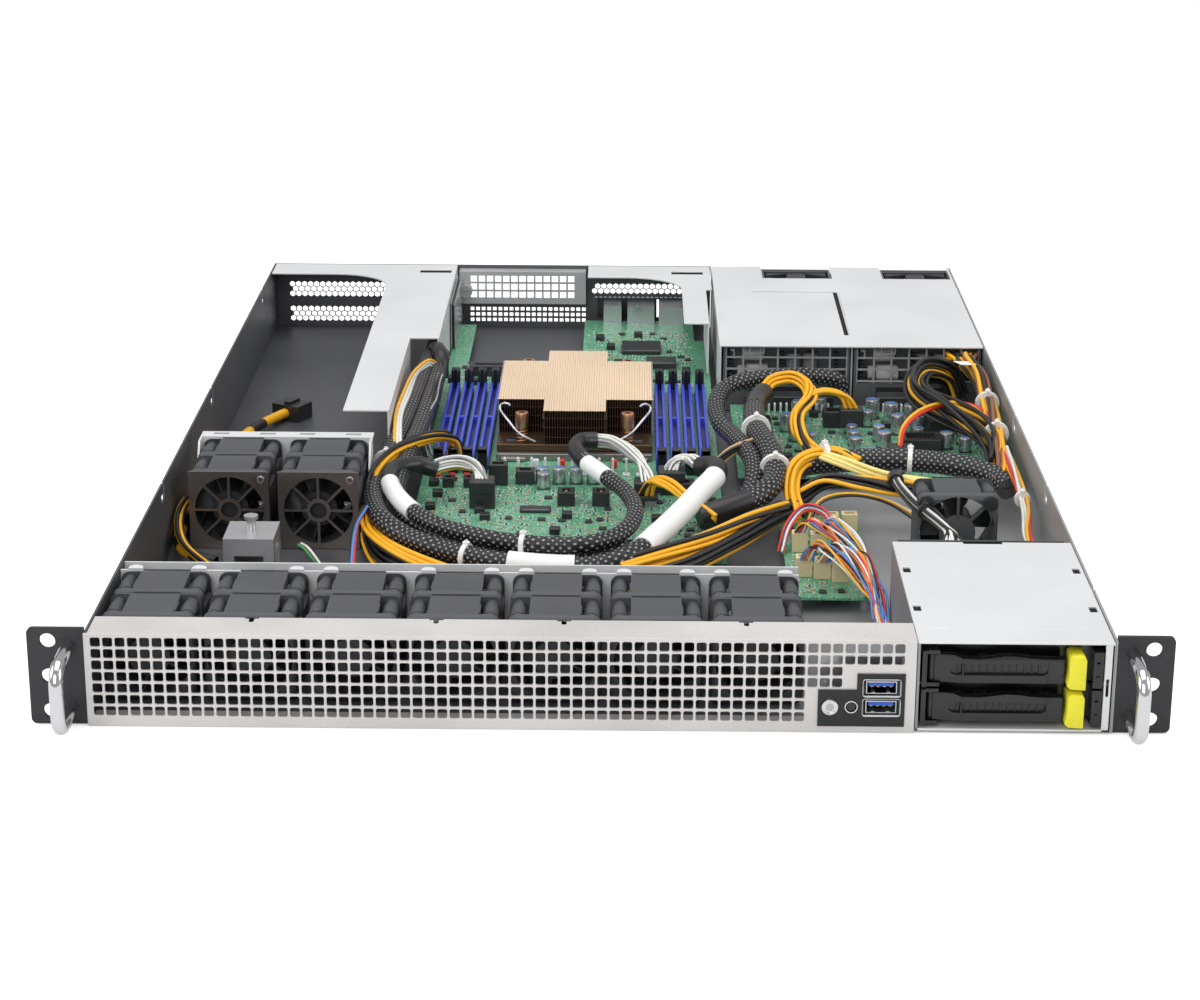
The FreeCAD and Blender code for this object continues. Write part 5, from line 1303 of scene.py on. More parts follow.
class SERVER_OT_board(bpy.types.Operator):
    """Motherboard parts: connectors, coils, cans, chips and the dense small parts"""
    bl_idname = "server.board"
    bl_label = "Motherboard parts"

    def execute(self, context):
        top = BOARD_TOP
        sockets = ((-70, -57, 262, 273, 17, 0.5), (-62, -52, 300, 308, 20, 0.5),
                   (-48, -38, 302, 310, 16, 0.5), (28, 46, 286, 296, 15, 0.5),
                   (10, 20, 268, 277, 15, 0.5), (52, 58, 232, 262, 15, 0.5),
                   (-84, -46, 506, 516, 15, 0.3), (-86, -80, 296, 302, 14, 0.5),
                   (-75, -69, 296, 302, 14, 0.5))
        parts = [header(x0, x1, d0, d1, top, z1, "part_black", wide) for x0, x1, d0, d1, z1, wide in sockets]
        for x in (-25, -7):
            parts.append(header(x, x + 9, 267, 277, top, 16, "part_black", 0.45))
            parts.append(slab("wire_tan", x + 3.9, x + 5.1, 268.5, 275.5, 10, 15))
        for x0, x1, d0, d1, z in ((-44, -28, 256, 264, 10.2), (7, 31, 556, 580, 11.2),
                                  (22, 40, 524, 540, 12.4)):
            parts.append(slab("part_black", x0, x1, d0, d1, top + 0.2, z, 0.3))
            parts.append(slab("can_silver", x0 - 1.2, x1 + 1.2, d0 + 1, d1 - 1, top, top + 0.3))
            parts.append(slab("wire_grey", x0 + 1.5, x1 - 1.5, d0 + 1.2, d0 + 1.6, z - 0.02, z + 0.03))
        for x, d in ((-34, 306), (-33, 297), (-25, 306), (-16, 306), (-7, 306)):
            parts.append(can(x, d, top, 3.5, 8.5))
        for k in range(11):
            x = -55.0 + 7.2 * k
            prong = block(x, x + 1.2, 318, 321, top, 18, 0.3)
            toe = block(x - 1.4, x + 2.6, 317.4, 321.6, top, top + 1.1, 0.3)
            back = block(x, x + 1.2, 321, 328, top, 14.5, 0.3)
            parts.append(paint(join([prong, toe, back]), coat("mark_white")))
        for k in range(4):
            x, tone = -40 + 14 * k, "wire_red" if k % 2 else "mark_white"
            parts.append(slab(tone, x, x + 3.5, 331, 334, top, 13, 0.4))
        for x in memory_places()[:4]:
            parts.append(slab("wire_red", x - 1.6, x + 1.6, 313.5, 316, top, 10.6, 0.2))
        keep(join(parts), "board_parts", "chassis", "part_black", "board_components")
        taken = [(-63, 268, 8, 7), (-57, 304, 6, 5), (-43, 306, 6, 5), (37, 291, 10, 6), (15, 272, 6, 6),
                 (55, 247, 4, 16), (-65, 511, 20, 6), (-83, 299, 4, 4), (-72, 299, 4, 4),
                 (-20.5, 272, 5.5, 6), (-2.5, 272, 5.5, 6), (-36, 260, 10, 6), (19, 568, 14, 13),
                 (31, 532, 11, 9), (-20, 302, 18, 9), (-19, 323, 40, 6.5), (-17.8, 407, 44, 66),
                 (-78, 398, 16, 82), (41, 398, 16, 82), (-19, 333, 30, 3)]
        fields = [(-94, 56, 190, 322), (-94, -60, 480, 535), (-15, 50, 474, 575), (-14, 48, 580, 608),
                  (-94, 56, 474, 500)]
        sown(fields, taken, 1, ("coil", 22), ("regulator", 90), ("capacitor", 430), ("resistor", 420),
             ("print", 420), name="board_small_parts")
        return {"FINISHED"}


# cans on the power board: (x, depth, radius, height), besides the row of five
BIG_CANS = [(x, d, 4.1, 11) for x, d in
            ((150, 428), (160, 420), (171, 418), (182, 428), (162, 398), (173, 398), (108, 424), (104, 384))]
OTHER_CANS = [(146, 412, 3.4, 9), (152, 372, 4.0, 9), (150, 384, 3.4, 9), (186, 372, 4.0, 9),
              (196, 366, 3.4, 8), (196, 380, 3.4, 8), (112, 372, 3.1, 8), (100, 402, 3.8, 10),
              (172, 384, 3.1, 8), (84, 404, 4.0, 10), (143, 345, 3.2, 8), (122, 440, 3.1, 8)]
HUB_PLUGS = ((109, 228), (118.5, 229), (92, 200), (101, 199), (92, 165), (100.5, 162), (109, 158))


class SERVER_OT_power(bpy.types.Operator):
    """Power distribution board, fan hub board and what stands on them"""
    bl_idname = "server.power"
    bl_label = "Power boards"

    def execute(self, context):
        top = BOARD_TOP
        parts = [slab("board_mask", 70, 208, 320, 452, 7, top, 0.2)]
        row = [(135.5, 364 + 12 * k, 3.1, 8) for k in range(5)]
        parts += [can(x, d, top, r, h) for x, d, r, h in BIG_CANS + row + OTHER_CANS]
        for x0 in (66.0, 141.9):
            shell = block(x0 + 12, x0 + 63, 440, 452, top, 17, 0.5)
            subtract(shell, [block(x0 + 14, x0 + 61, 446, 453, 9.6, 12.6)])
            parts.append(paint(shell, coat("part_black")))
            for k in range(14):
                x = x0 + 15 + 3.4 * k
                parts.append(slab("mark_white", x, x + 1.1, 436.2, 440.4, 8.6, 13.6, 0.15))
        for x0, x1, d0, d1, z1 in ((76, 90, 352, 388, 22), (160, 182, 356, 372, 18),
                                   (178, 192, 384, 408, 20), (121, 135, 407, 417, 18)):
            parts.append(header(x0, x1, d0, d1, top, z1, "part_black", 0.6))
        keep(join(parts), "power_board_assembly", "chassis", "board_green", "power_board")
        taken = [(x, d, 5.2, 5.2) for x, d, _, _ in BIG_CANS + OTHER_CANS]
        taken += [(83, 370, 8, 19), (171, 364, 12, 9), (185, 396, 8, 13), (128, 412, 8, 6),
                  (135.5, 388, 4, 30), (103.5, 445, 27, 10), (179.4, 445, 27, 10)]
        sown([(73, 205, 323, 433)], taken, 11, ("coil", 10), ("regulator", 30), ("capacitor", 180),
             ("resistor", 160), ("print", 120), name="power_small_parts")
        hub = [slab("board_mask", 88, 128, 138, 262, 7, top, 0.2)]
        hub += [header(x, x + 8, d, d + 6, top, top + 10, "connector_cream", 0.55) for x, d in HUB_PLUGS]
        hub += [can(104, 244, top, 3.2, 9), can(96, 236, top, 3.2, 9)]
        keep(join(hub), "hub_board_assembly", "chassis", "connector_cream", "fan_hub_board")
        taken = [(x + 4, d + 3, 5, 4) for x, d in HUB_PLUGS] + [(104, 244, 4, 4), (96, 236, 4, 4)]
        sown([(90, 126, 141, 259)], taken, 21, ("regulator", 14), ("capacitor", 70), ("resistor", 60),
             name="hub_small_parts")
        return {"FINISHED"}


# ---------------------------------------------------------------- rear panel and power bay
def honeycomb(x0, x1, z0, z1, depth, thick):
    """Sheet between two corners with rows of six-sided holes."""
    step, rise, radius = 3.9, 3.2, 1.9
    sheet = block(x0, x1, depth, depth + thick, z0, z1)
    rows = int((z1 - z0 - 2 * radius) / rise) + 1
    first = (z0 + z1 - rise * (rows - 1)) / 2
    offsets = []
    for row in range(rows):
        shift = step / 2 if row % 2 else 0.0
        count = int((x1 - x0 - 3.6 - shift) / step) + 1
        offsets += [(x0 + 2.0 + shift + step * k, depth - 1, first + rise * row) for k in range(count)]
    hole = rod(0, BODY_L / 2, 0, radius, thick + 2, "y", 6)
    hole.data.transform(Matrix.Translation((0, -(BODY_L / 2) / 1000, 0)))
    return subtract(sheet, copy_to(hole, offsets))


def plate(outline, z, thick):
    """Flat sheet on an outline of (x, depth) points."""
    corners = [place(x, d, z) for x, d in outline] + [place(x, d, z + thick) for x, d in outline]
    return prism(corners, "plate")


def rounded_end(x, depth, wide, deep):
    """Points of the quarter-oval edge that runs from the rear strip to a plate's inner side."""
    turns = [math.radians(90 - 11.25 * k) for k in range(9)]
    return [(x - wide * (1 - math.cos(a)), depth + deep * math.sin(a)) for a in turns]


class SERVER_OT_rear(bpy.types.Operator):
    """Honeycomb vents, riser and port details of the rear"""
    bl_idname = "server.rear"
    bl_label = "Rear panel"

    def execute(self, context):
        sheets = [honeycomb(-208.0, -104.0, 2.4, 15.4, 649.1, 0.7),
                  honeycomb(-208.0, -104.0, 19.4, 31.0, 649.1, 0.7),
                  honeycomb(-13.0, 46.0, 22.4, 31.0, 649.1, 0.7)]
        keep(paint(join(sheets), coat("tray_zinc")), "rear_vent_meshes", "chassis", "tray_zinc")
        riser = [slab("port_steel", -98.6, -97.9, 566, 634, 9.0, 38.0, 0.1),
                 slab("part_black", -97.9, -96.4, 568, 632, 9.0, 36.4, 0.2),
                 slab("port_steel", -96.4, -95.8, 566, 634, 9.0, 37.4, 0.1)]
        keep(join(riser), "riser_connector", "chassis", "port_steel")
        shield = block(-9.2, 50.2, 648.2, 648.9, 8.0, 20.6)
        for x0, x1, z1 in ((-5.0, 6.4, 19.6), (10.2, 27.4, 19.4), (29.0, 46.4, 20.0)):
            subtract(shield, [block(x0, x1, 647, 650, 7, z1)])
        shade = [block(x - 0.9, x + 0.9, 647.9, 648.1, 21.0, 21.7) for x in range(-10, 46, 3)]
        keep(join([paint(shield, coat("dark_steel"))] + [paint(bit, coat("mark_white")) for bit in shade]),
             "port_shield", "chassis", "tray_zinc")
        left = [(-140.6, 326.0), (-116.0, 326.0), (-116.0, 472.0), (-99.2, 472.0), (-99.2, 648.7),
                (-215.7, 648.7), (-215.7, 624.0)] + rounded_end(-140.6, 594.0, 34.0, 30.0)
        right = [(44.0, 509.0), (59.0, 509.0), (59.0, 590.0), (62.6, 590.0), (62.6, 648.7), (-15.0, 648.7),
                 (-15.0, 620.0)] + rounded_end(44.0, 590.0, 34.0, 30.0)
        plates = [plate(left, 40.8, 1.0), plate(right, 40.8, 1.0)]
        for piece, x0, x1 in ((plates[0], -122.0, -102.0), (plates[1], 38.0, 58.0)):
            subtract(piece, [block(x0, x1, 628.0, 636.0, 40, 43)])
        folds = [block(-117.0, -116.0, 326.0, 472.0, 12.0, 41.4),
                 block(-100.2, -99.2, 472.0, 648.7, 1.0, 41.4)]
        right_fold = [block(58.0, 59.0, 509.0, 590.0, 10.6, 41.4)]
        for name, pieces, node in (("left_cover_sheet", [plates[0]] + folds, "left_cover_plate"),
                                   ("right_cover_sheet", [plates[1]] + right_fold, "right_cover_plate")):
            sheet = join(pieces)
            soften(sheet, 0.15)
            keep(paint(sheet, coat("cover_grey")), name, "chassis", "cover_grey", node)
        return {"FINISHED"}


PSU_LEFT = (66.0, 141.9)


def psu_case(x0):
    """Power module: dark case, barred front with a U clip, fan seat and inlet at the back."""
    x1, z0, z1, d0, d1 = x0 + 73.5, 1.3, 40.5, 464.0, 649.0
    body = block(x0, x1, d0, d1, z0, z1, 0.4)
    fan_x = x1 - 22.0
    tools = [block(x0 + 1.4, x1 - 1.4, d0 - 1, d0 + 13, 18.4, z1 - 1.2),
             block(fan_x - 20.4, fan_x + 20.4, d1 - 29, d1 - 3, z1 - 3.4, z1 + 1),
             rod(fan_x, d1 - 26, 20.9, 17.4, 28, "y", 40),
             block(x0 + 5, x0 + 27, d1 - 12, d1 + 1, 7.3, 23.3)]
    for tool in tools:
        subtract(body, [tool])
    paint(body, coat("psu_black"))
    parts = [body]
    for k in range(8):
        x = x0 + 1.6 + k * (73.5 - 3.2) / 7
        parts.append(block(x - 0.55, x + 0.55, d0, d0 + 1.4, 18.4, z1 - 0.8, 0.15))
    for k in range(3):
        parts.append(block(x0 + 1, x1 - 1, d0 + 0.1, d0 + 1.3, 19.0 + 7.0 * k, 20.1 + 7.0 * k, 0.15))
    clip_x = x0 + 19.5
    parts += [block(clip_x - 4.4, clip_x - 3.6, d0 - 0.8, d0 + 0.4, 36.6, 40.2, 0.1),
              block(clip_x + 3.6, clip_x + 4.4, d0 - 0.8, d0 + 0.4, 36.6, 40.2, 0.1),
              block(clip_x - 4.4, clip_x + 4.4, d0 - 0.8, d0 + 0.4, 36.0, 36.9, 0.1)]
    dress(parts[1:], "bar_grey")
    edge = [block(x0 + 15, x0 + 60, d0 - 8, d0 + 1, 10.0, 11.6),
            block(x0 + 13, x0 + 62, d0 - 0.6, d0 + 1, 3.0, 16.6, 0.3)]
    grips = [block(x0 + 3, x0 + 7, d1, d1 + 9.0, 31.5, 36.5, 0.6),
             block(x0 + 27, x0 + 31, d1, d1 + 9.0, 31.5, 36.5, 0.6),
             block(x0 + 3, x0 + 31, d1 + 6.0, d1 + 9.0, 31.5, 36.5, 0.6)]
    frame = [block(fan_x - 20, fan_x + 20, d1 - 28.6, d1 - 25.6, z1 - 3.6, z1 - 0.2, 0.3),
             block(fan_x - 20, fan_x + 20, d1 - 6.4, d1 - 3.4, z1 - 3.6, z1 - 0.2, 0.3),
             block(fan_x - 6, fan_x + 6, d1 - 26, d1 - 6, z1 - 3.6, z1 - 0.9, 0.3)]
    for side in (-1, 1):
        for near, far in ((d1 - 25.8, d1 - 18.0), (d1 - 6.2, d1 - 14.0)):
            xs = sorted((fan_x + side * 5.0, fan_x + side * 19.0))
            ds = sorted((near, far))
            wedge = block(xs[0], xs[1], ds[0], ds[1], z1 - 3.6, z1 - 0.9)
            choose(wedge)
            for vertex in wedge.data.vertices:
                inner = abs(vertex.co.x * 1000 - fan_x) < 6
                far_side = abs(vertex.co.y * 1000 + BODY_L / 2 - far) < 0.1
                if far_side and inner:
                    vertex.co.y += (near - far) * 0.7 / 1000
            frame.append(wedge)
    dress(edge + grips + frame, "part_black")
    guard = [ring(fan_x, d1 - 0.5, 20.9, r, 0.5, "y", 40, 6) for r in (5.0, 9.2, 13.4, 17.4)]
    for k in range(4):
        bar = rod(0, BODY_L / 2, 4.6, 0.5, 13.0, "z", 8)
        bar.data.transform(Matrix.Translation(place(fan_x, d1 - 0.2, 20.9))
                           @ Matrix.Rotation(math.pi / 4 + k * math.pi / 2, 4, "Y"))
        guard.append(bar)
    dress(guard, "port_steel")
    pins = [slab("port_steel", x0 + x - 0.9, x0 + x + 0.9, d1 - 12.2, d1 - 3, z - 2.2, z + 2.2, 0.3)
            for x, z in ((10.0, 13.4), (22.0, 13.4), (16.0, 17.4))]
    return smooth(join(parts + edge + grips + frame + guard + pins), 35)


def psu_works(x0):
    """What shows behind the bars: bright cans on the left, dark coils and strips to the right."""
    d = 468.4
    bright = [rod(x0 + 13.5, d + 5, 22.4, 4.6, 13, "x", 24, 0.8),
              rod(x0 + 8.6, d + 5.5, 22.4, 3.9, 4.5, "x", 24, 0.6),
              rod(x0 + 12.0, d + 7, 33.0, 4.2, 12, "x", 24, 0.8),
              block(x0 + 4.0, x0 + 7.0, d + 1, d + 6, 31, 37, 0.4)]
    dress(bright, "can_pale")
    dark = [rod(x0 + 41.0, d + 4.0, 18.6, 4.4, 16, "z", 22, 0.7),
            rod(x0 + 51.0, d + 4.0, 18.6, 4.4, 16, "z", 22, 0.7)]
    dress(dark, "coil_grey")
    coils = []
    for x in (x0 + 3.4, x0 + 33.0, x0 + 64.6):
        coils += [block(x, x + 2.4, d - 1.5, d + 2, 19.2 + 2.5 * k, 21.0 + 2.5 * k, 0.3) for k in range(7)]
    shelf = block(x0 + 1.4, x0 + 72.1, d + 0.5, d + 8.4, 18.3, 18.9)
    dress(coils + [shelf], "part_black")
    return smooth(join(bright + dark + coils + [shelf]), 40)


class SERVER_OT_power_bay(bpy.types.Operator):
    """Power modules with barred fronts, and the flush cover over them"""
    bl_idname = "server.power_bay"
    bl_label = "Power bay"

    def execute(self, context):
        for k, x0 in enumerate(PSU_LEFT):
            body = f"psu_{k + 1}"
            keep(psu_case(x0), f"psu_{k + 1}_case", body, "psu_black", f"psu_{k + 1}")
            keep(psu_works(x0), f"psu_{k + 1}_works", body, "guard_steel")
        top = block(63.8, 215.7, 460.0, 650.0, 40.8, 41.8)
        slits = [block(87.0, 137.0, 584.4, 586.6, 40, 43), block(137.4, 141.0, 484.0, 586.6, 40, 43)]
        for x0 in PSU_LEFT:
            fan_x = x0 + 51.5
            slits.append(block(fan_x - 22.0, min(fan_x + 22.0, 214.4), 619.6, 651, 40, 43))
        for slit in slits:
            subtract(top, [slit])
        walls = [block(63.8, 64.8, 460.0, 648.7, 1.0, 41.0), block(140.2, 141.2, 466.0, 648.7, 1.0, 41.0)]
        sheet = join([top] + walls)
        soften(sheet, 0.15)
        paint(sheet, coat("cover_grey"))
        # near-black strips under the slits: painted shade in the gaps of the pressed-down part of the cover
        under = [block(86.0, 138.0, 583.6, 587.4, 40.55, 40.7),
                 block(136.4, 142.0, 483.0, 587.4, 40.55, 40.7)]
        dress(under, "shadow_black")
        keep(join([sheet] + under), "power_bay_cover", "chassis", "cover_grey", "psu_cage_cover")
        return {"FINISHED"}


# ---------------------------------------------------------------- front panel
GRILLE_RIGHT = 133.0
HOLE_STEP = 5.2


def rounded_bar(x, depth, z, half, length, corner=0.8):
    """Square bar along +Y with rounded corners, for punching a hole."""
    bar = block(x - half, x + half, depth, depth + length, z - half, z + half)
    return round_uprights(bar, corner, 2)


def grille_sheet():
    """Front sheet with its rows of rounded holes, the window for the switches and the folded top."""
    x0 = -217.0
    face = block(x0, GRILLE_RIGHT, 0.0, 1.2, 0.0, 41.8)
    offsets = []
    for row in range(7):
        for column in range(66):
            x, z = -212.1 + HOLE_STEP * column, 38.0 - HOLE_STEP * row
            top = 26.8 if x > 103.8 else 19.5
            if x < 89.5 or z > top + 2.5:
                offsets.append((x, 0, z))
    half = bpy.context.scene.server_sizes.grille_hole * 500
    subtract(face, copy_to(rounded_bar(0, -1, 0, half, 4), offsets))
    window = [block(93.0, 127.6, -1, 3, 4.0, 18.5), block(109.3, 127.6, -1, 3, 17.0, 25.8)]
    subtract(face, window, True)
    flange = block(-215.6, GRILLE_RIGHT, 1.0, 20.5, 40.6, 41.8)
    notches = []
    for x in (-148.4, -69.8, -15.4, 62.1):
        notches += [block(x - 1.1, x + 1.1, 16.4, 21, 40, 43), rod(x, 16.4, 40, 1.1, 3, "z", 12),
                    block(x - 3.0, x + 3.0, 19.2, 21, 40, 43)]
    subtract(flange, notches, True)
    foot = block(-215.6, GRILLE_RIGHT, 1.0, 12.0, 1.0, 2.2)
    sheet = join([face, flange, foot])
    soften(sheet, 0.12, 1, 50)
    return paint(sheet, coat("panel_grey"))


def outline_ring(x0, x1, z0, z1, width, depth, corner):
    """Fine raised frame with rounded corners."""
    outer = block(x0, x1, depth, depth + 0.12, z0, z1)
    round_uprights(outer, corner, 4)
    subtract(outer, [block(x0 + width, x1 - width, depth - 1, depth + 1, z0 + width, z1 - width)])
    return paint(outer, coat("mark_white"))


class SERVER_OT_front(bpy.types.Operator):
    """Perforated front sheet, switch overlay, ports and buttons"""
    bl_idname = "server.front"
    bl_label = "Front panel"

    def execute(self, context):
        keep(grille_sheet(), "grille_sheet", "chassis", "panel_grey", "front_grille")
        ports = []
        for z in (11.9, 20.7):
            shell = block(112.0, 125.2, -0.7, 13.0, z - 2.9, z + 2.9, 0.3, 2)
            subtract(shell, [block(112.5, 124.7, -2, 12.0, z - 2.4, z + 2.4)])
            ports.append(paint(shell, coat("port_steel")))
            ports.append(slab("usb_blue", 113.2, 124.0, 0.4, 12.4, z + 0.2, z + 1.9, 0.15))
            ports.append(slab("part_black", 112.4, 124.8, 10.0, 12.4, z - 2.5, z + 2.5))
            for k in range(4):
                x = 114.6 + 2.66 * k
                ports.append(slab("pin_gold", x - 0.5, x + 0.5, 0.6, 6.0, z - 0.1, z + 0.25))
            for x in (115.2, 121.6):
                ports.append(slab("port_steel", x - 0.8, x + 0.8, -0.4, 4.0, z - 2.45, z - 2.05, 0.1))
        keep(join(ports), "front_port_shells", "chassis", "port_steel")
        marks = [outline_ring(110.6, 126.8, z - 3.9, z + 3.9, 0.35, -0.9, 1.2) for z in (11.9, 20.7)]
        rim = paint(ring(106.1, -0.85, 11.8, 2.55, 0.22, "y", 36, 6), coat("mark_white"))
        keep(smooth(join(marks + [rim])), "overlay_lines", "chassis", "overlay_black")
        button = rod(97.1, -1.6, 11.8, 3.6, 12.4, "y", 40, 0.5)
        subtract(button, [rod(97.1, -2.6, 11.8, 2.6, 1.5, "y", 36)])
        paint(button, coat("button_steel"))
        crown = pole("knob_steel", 97.1, -1.2, 11.8, 1.9, 1.2, "y", 36, 0.4)
        pit = pole("part_black", 97.1, -1.0, 11.8, 2.55, 0.4, "y", 36)
        keep(smooth(join([button, crown, pit])), "power_button_cap", "power_button", "button_steel",
             "power_button")
        small = rod(106.1, -0.4, 11.8, 2.0, 11.4, "y", 32, 0.35)
        keep(smooth(paint(small, coat("part_black"))), "reset_button_cap", "reset_button", "part_black",
             "reset_button")
        return {"FINISHED"}


# ---------------------------------------------------------------- drive bay
def wavy_bar(points_top, z0, depth, thick):
    """Bar whose top edge follows (x, z) points, standing on a height."""
    outline = [(x, z) for x, z in points_top] + [(points_top[-1][0], z0), (points_top[0][0], z0)]
    return prism([place(x, depth, z) for x, z in outline] + [place(x, depth + thick, z) for x, z in outline],
                 "bar")


def carrier_arm(z0):
    """Lever of a carrier: hinge barrel, arm with a wavy top and a long dark hollow."""
    low, high = z0 + 1.9, z0 + 14.3
    top = [(140.6, high - 0.5), (145.0, high), (149.0, high - 0.1), (152.5, high - 1.5),
           (160.0, high - 1.7), (166.0, high - 0.9), (171.0, high - 0.2), (177.0, high - 0.5),
           (182.0, high - 1.3), (188.6, high - 1.5), (195.0, high - 1.5)]
    arm = wavy_bar(top, low, 0.3, 4.4)
    hollow = [rod(149.5, -1, z0 + 8.0, 2.5, 3.2, "y", 20), rod(186.0, -1, z0 + 8.0, 2.5, 3.2, "y", 20),
              block(149.5, 186.0, -1, 2.2, z0 + 5.5, z0 + 10.5)]
    for tool in hollow:
        subtract(arm, [tool])
    corner = [(136, -1), (152, -1), (152, 0.2), (136, 3.1)]
    subtract(arm, [prism([place(x, d, z) for z in (low - 1, high + 1) for x, d in corner], "corner")])
    soften(arm, 0.35, 2, 45)
    parts = [arm]
    parts.append(rod(139.8, 4.6, low, 2.1, high - low, "z", 24, 0.3))
    parts.append(rod(139.8, 4.6, z0 + 0.2, 1.2, 15.8, "z", 16))
    for x in (152.5, 188.6):
        parts.append(block(x - 0.35, x + 0.35, 0.05, 1.0, low + 0.4, high - 1.8, 0.1))
    for k in range(12):
        x = 150.6 + 3.1 * k
        parts.append(block(x - 0.35, x + 0.35, 1.6, 2.5, z0 + 5.8, z0 + 10.2, 0.1))
    return smooth(paint(join(parts), coat("carrier_black")), 40)


def thumb_tab(z0):
    """Yellow release tab: slanted side, chamfered corners, sloped face."""
    low, high = z0 + 0.6, z0 + 15.6
    outline = [(195.8, low + 1.6), (197.4, low), (203.6, low), (203.6, high - 1.4), (202.6, high),
               (197.8, high), (196.6, high - 1.4), (196.6, low + 6.5)]
    corners = [place(x, -3.2 if x < 199 else -4.1, z) for x, z in outline]
    tab = prism(corners + [place(x, 8.6, z) for x, z in outline], "tab")
    soften(tab, 0.35, 2, 30)
    return smooth(paint(tab, coat("tab_yellow")), 40)


class SERVER_OT_drive_bay(bpy.types.Operator):
    """Drive carriers' levers and tabs, and the cage's slots and edges"""
    bl_idname = "server.drive_bay"
    bl_label = "Drive bay"

    def execute(self, context):
        for k, name in enumerate(("lower", "upper")):
            z0 = 3.6 + 17.3 * k
            keep(carrier_arm(z0), f"carrier_arm_{name}", f"carrier_lever_{name}", "carrier_black",
                 f"carrier_lever_{name}")
            keep(thumb_tab(z0), f"thumb_tab_{name}", f"release_tab_{name}", "tab_yellow",
                 f"release_tab_{name}")
            marks = [block(208.5, 209.8, -0.15, 0.2, z, z + 1.6, 0.05) for z in (z0 + 3.6, z0 + 9.4)]
            keep(paint(join(marks), coat("dark_steel")), f"carrier_lamps_{name}", f"drive_carrier_{name}",
                 "carrier_black")
        top = block(133.4, 215.7, 0.0, 125.0, 40.4, 41.4)
        slots, slot_shades = [], []
        for x in (136.6, 212.5):
            for d in (39.5, 87.5):
                slots.append(block(x - 1.7, x + 1.7, d - 3.4, d + 3.4, 39, 43))
                # near-black plates under the slots: painted shade in the slot holes
                slot_shades.append(block(x - 2.2, x + 2.2, d - 4.0, d + 4.0, 39.6, 40.2))
        slots.append(block(166.0, 184.0, 122.6, 126, 39, 43))
        subtract(top, slots)
        subtract(top, [block(137.0, 213.6, 15.4, 16.3, 41.0, 42)])
        walls = [block(133.4, 134.4, 0.0, 125.0, 1.0, 40.6), block(214.7, 215.7, 0.0, 125.0, 1.0, 40.6),
                 block(133.4, 215.7, 0.0, 125.0, 1.0, 2.0), block(211.9, 215.7, 0.0, 1.0, 1.0, 40.4),
                 block(134.0, 137.4, 6.0, 125.0, 19.9, 20.6), block(209.7, 215.0, 6.0, 125.0, 19.9, 20.6)]
        subtract(walls[3], [block(212.8, 214.0, -1, 3, 17, 25)])
        cage = join([top] + walls[1:])
        soften(cage, 0.15)
        paint(cage, coat("cover_grey"))
        dress(slot_shades, "shadow_black")
        # the left wall takes a darker grey than the rest of the same sheet: painted shade on that side
        keep(join([cage, paint(walls[0], coat("cage_side"))] + slot_shades), "cage_sheet", "chassis", "cover_grey",
             "drive_cage")
        board = [slab("part_black", 136.0, 212.6, 125.6, 127.2, 2.3, 41.5),
                 slab("board_mask", 136.4, 212.2, 127.2, 127.9, 2.3, 41.3),
                 slab("part_black", 150.0, 190.0, 119.0, 125.8, 5.6, 11.6),
                 slab("part_black", 150.0, 190.0, 119.0, 125.8, 22.9, 28.9),
                 slab("part_black", 151.0, 176.0, 127.6, 134.6, 30.0, 37.6, 0.4),
                 slab("wire_white", 196.0, 210.0, 127.6, 135.6, 27.0, 37.6, 0.4)]
        keep(join(board), "backplane_board", "chassis", "board_green", "drive_backplane")
        return {"FINISHED"}


# ---------------------------------------------------------------- finishes of the solids
SOLID_FINISH = {
    "tray": "tray_zinc", "io_panel": "overlay_black", "front_io_board": "port_steel",
    "rack_ears": "ear_black", "pull_handles": "chrome", "gpu_fan_guards": "guard_steel",
    "gpu_fan_bracket": "cover_grey", "cover_stud_bracket": "bracket_steel",
    "drive_carrier_lower": "carrier_black", "drive_carrier_upper": "carrier_black",
    "psu_latch_1": "psu_green", "psu_latch_2": "psu_green", "card_holder": "holder_steel",
    "thumbscrew": "knob_steel", "rear_io_ports": "port_steel", "motherboard": "board_mask",
    "gpu_power_plug": "part_black",
}


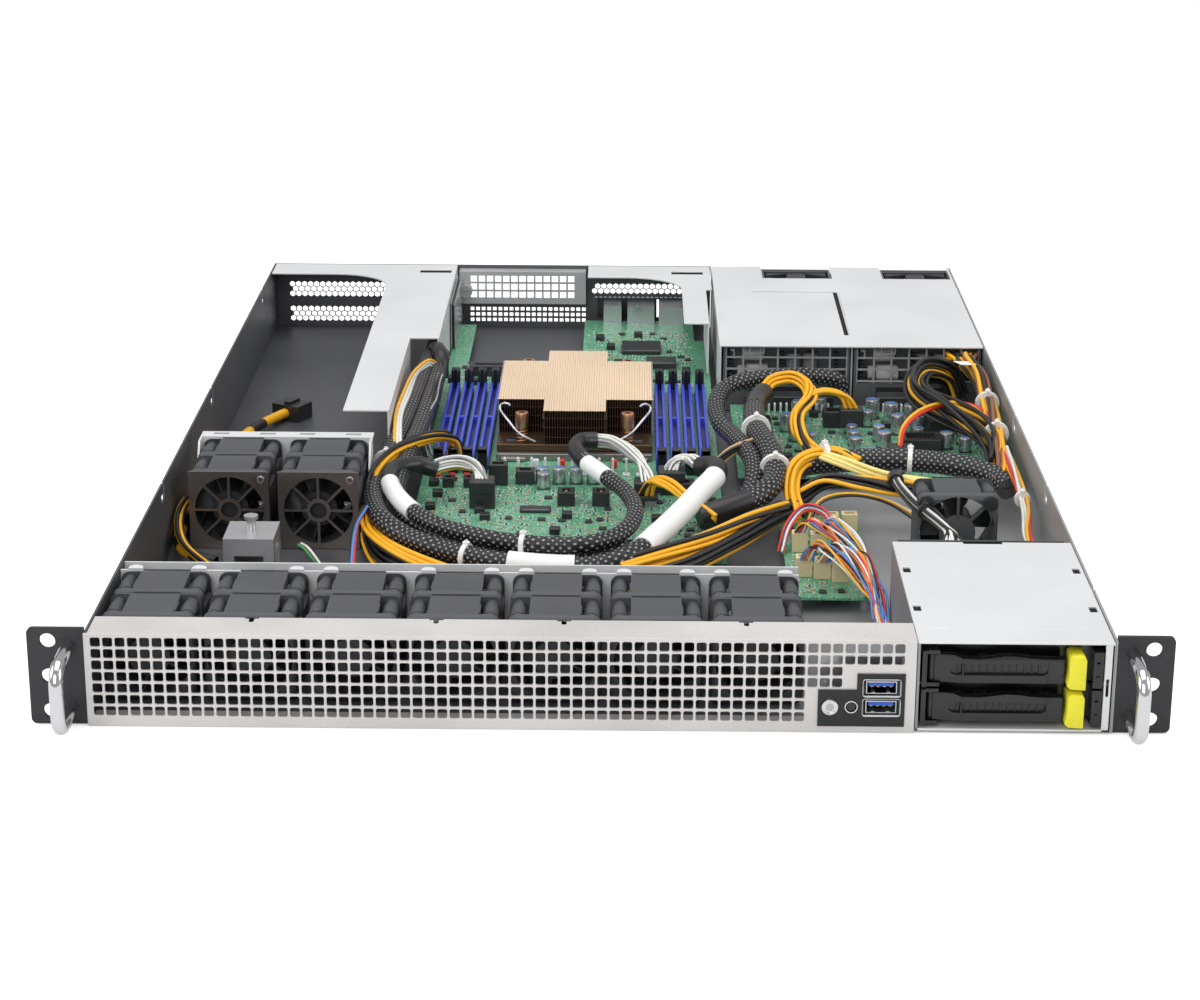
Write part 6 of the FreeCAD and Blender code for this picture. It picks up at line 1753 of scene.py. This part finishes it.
class SERVER_OT_solids(bpy.types.Operator):
    """Finishes of the pieces that keep the shape of their solids"""
    bl_idname = "server.solids"
    bl_label = "Plain pieces"

    def execute(self, context):
        for name, node in frame["nodes"].items():
            if node.hide_render:
                continue
            tone = SOLID_FINISH.get(name) or ("rotor_black" if "rotor" in name else None)
            if tone is None:
                raise RuntimeError(f"{name} has no finish")
            paint(node, coat(tone))
        return {"FINISHED"}


# ---------------------------------------------------------------- panel and registration
BUILD_STEPS = ("studio", "free_lead", "sleeves", "wires", "plugs", "fans", "fan_wall", "cooler", "memory",
               "board", "power", "rear", "power_bay", "front", "drive_bay", "solids")


class SERVER_PT_panel(bpy.types.Panel):
    """Buttons that build the server group by group"""
    bl_idname = "SERVER_PT_panel"
    bl_label = "Rack server"
    bl_space_type = "VIEW_3D"
    bl_region_type = "UI"
    bl_category = "Server"

    def draw(self, context):
        for group in (context.scene.server_sizes, context.scene.server_looks):
            for name in group.bl_rna.properties.keys():
                if name not in ("rna_type", "name"):
                    self.layout.prop(group, name)
        for step in BUILD_STEPS:
            self.layout.operator(f"server.{step}")


CLASSES = (ServerLooks, ServerSizes, SERVER_OT_studio, SERVER_OT_free_lead, SERVER_OT_sleeves,
           SERVER_OT_wires, SERVER_OT_plugs, SERVER_OT_fans, SERVER_OT_fan_wall, SERVER_OT_cooler,
           SERVER_OT_memory, SERVER_OT_board, SERVER_OT_power, SERVER_OT_rear, SERVER_OT_power_bay,
           SERVER_OT_front, SERVER_OT_drive_bay, SERVER_OT_solids, SERVER_PT_panel)


def register():
    for kind in CLASSES:
        bpy.utils.register_class(kind)
    bpy.types.Scene.server_looks = PointerProperty(type=ServerLooks)
    bpy.types.Scene.server_sizes = PointerProperty(type=ServerSizes)


def unregister():
    del bpy.types.Scene.server_sizes
    del bpy.types.Scene.server_looks
    for kind in reversed(CLASSES):
        bpy.utils.unregister_class(kind)


def main():
    register()
    for step in BUILD_STEPS:
        getattr(bpy.ops.server, step)()


if __name__ == "__main__":
    main()
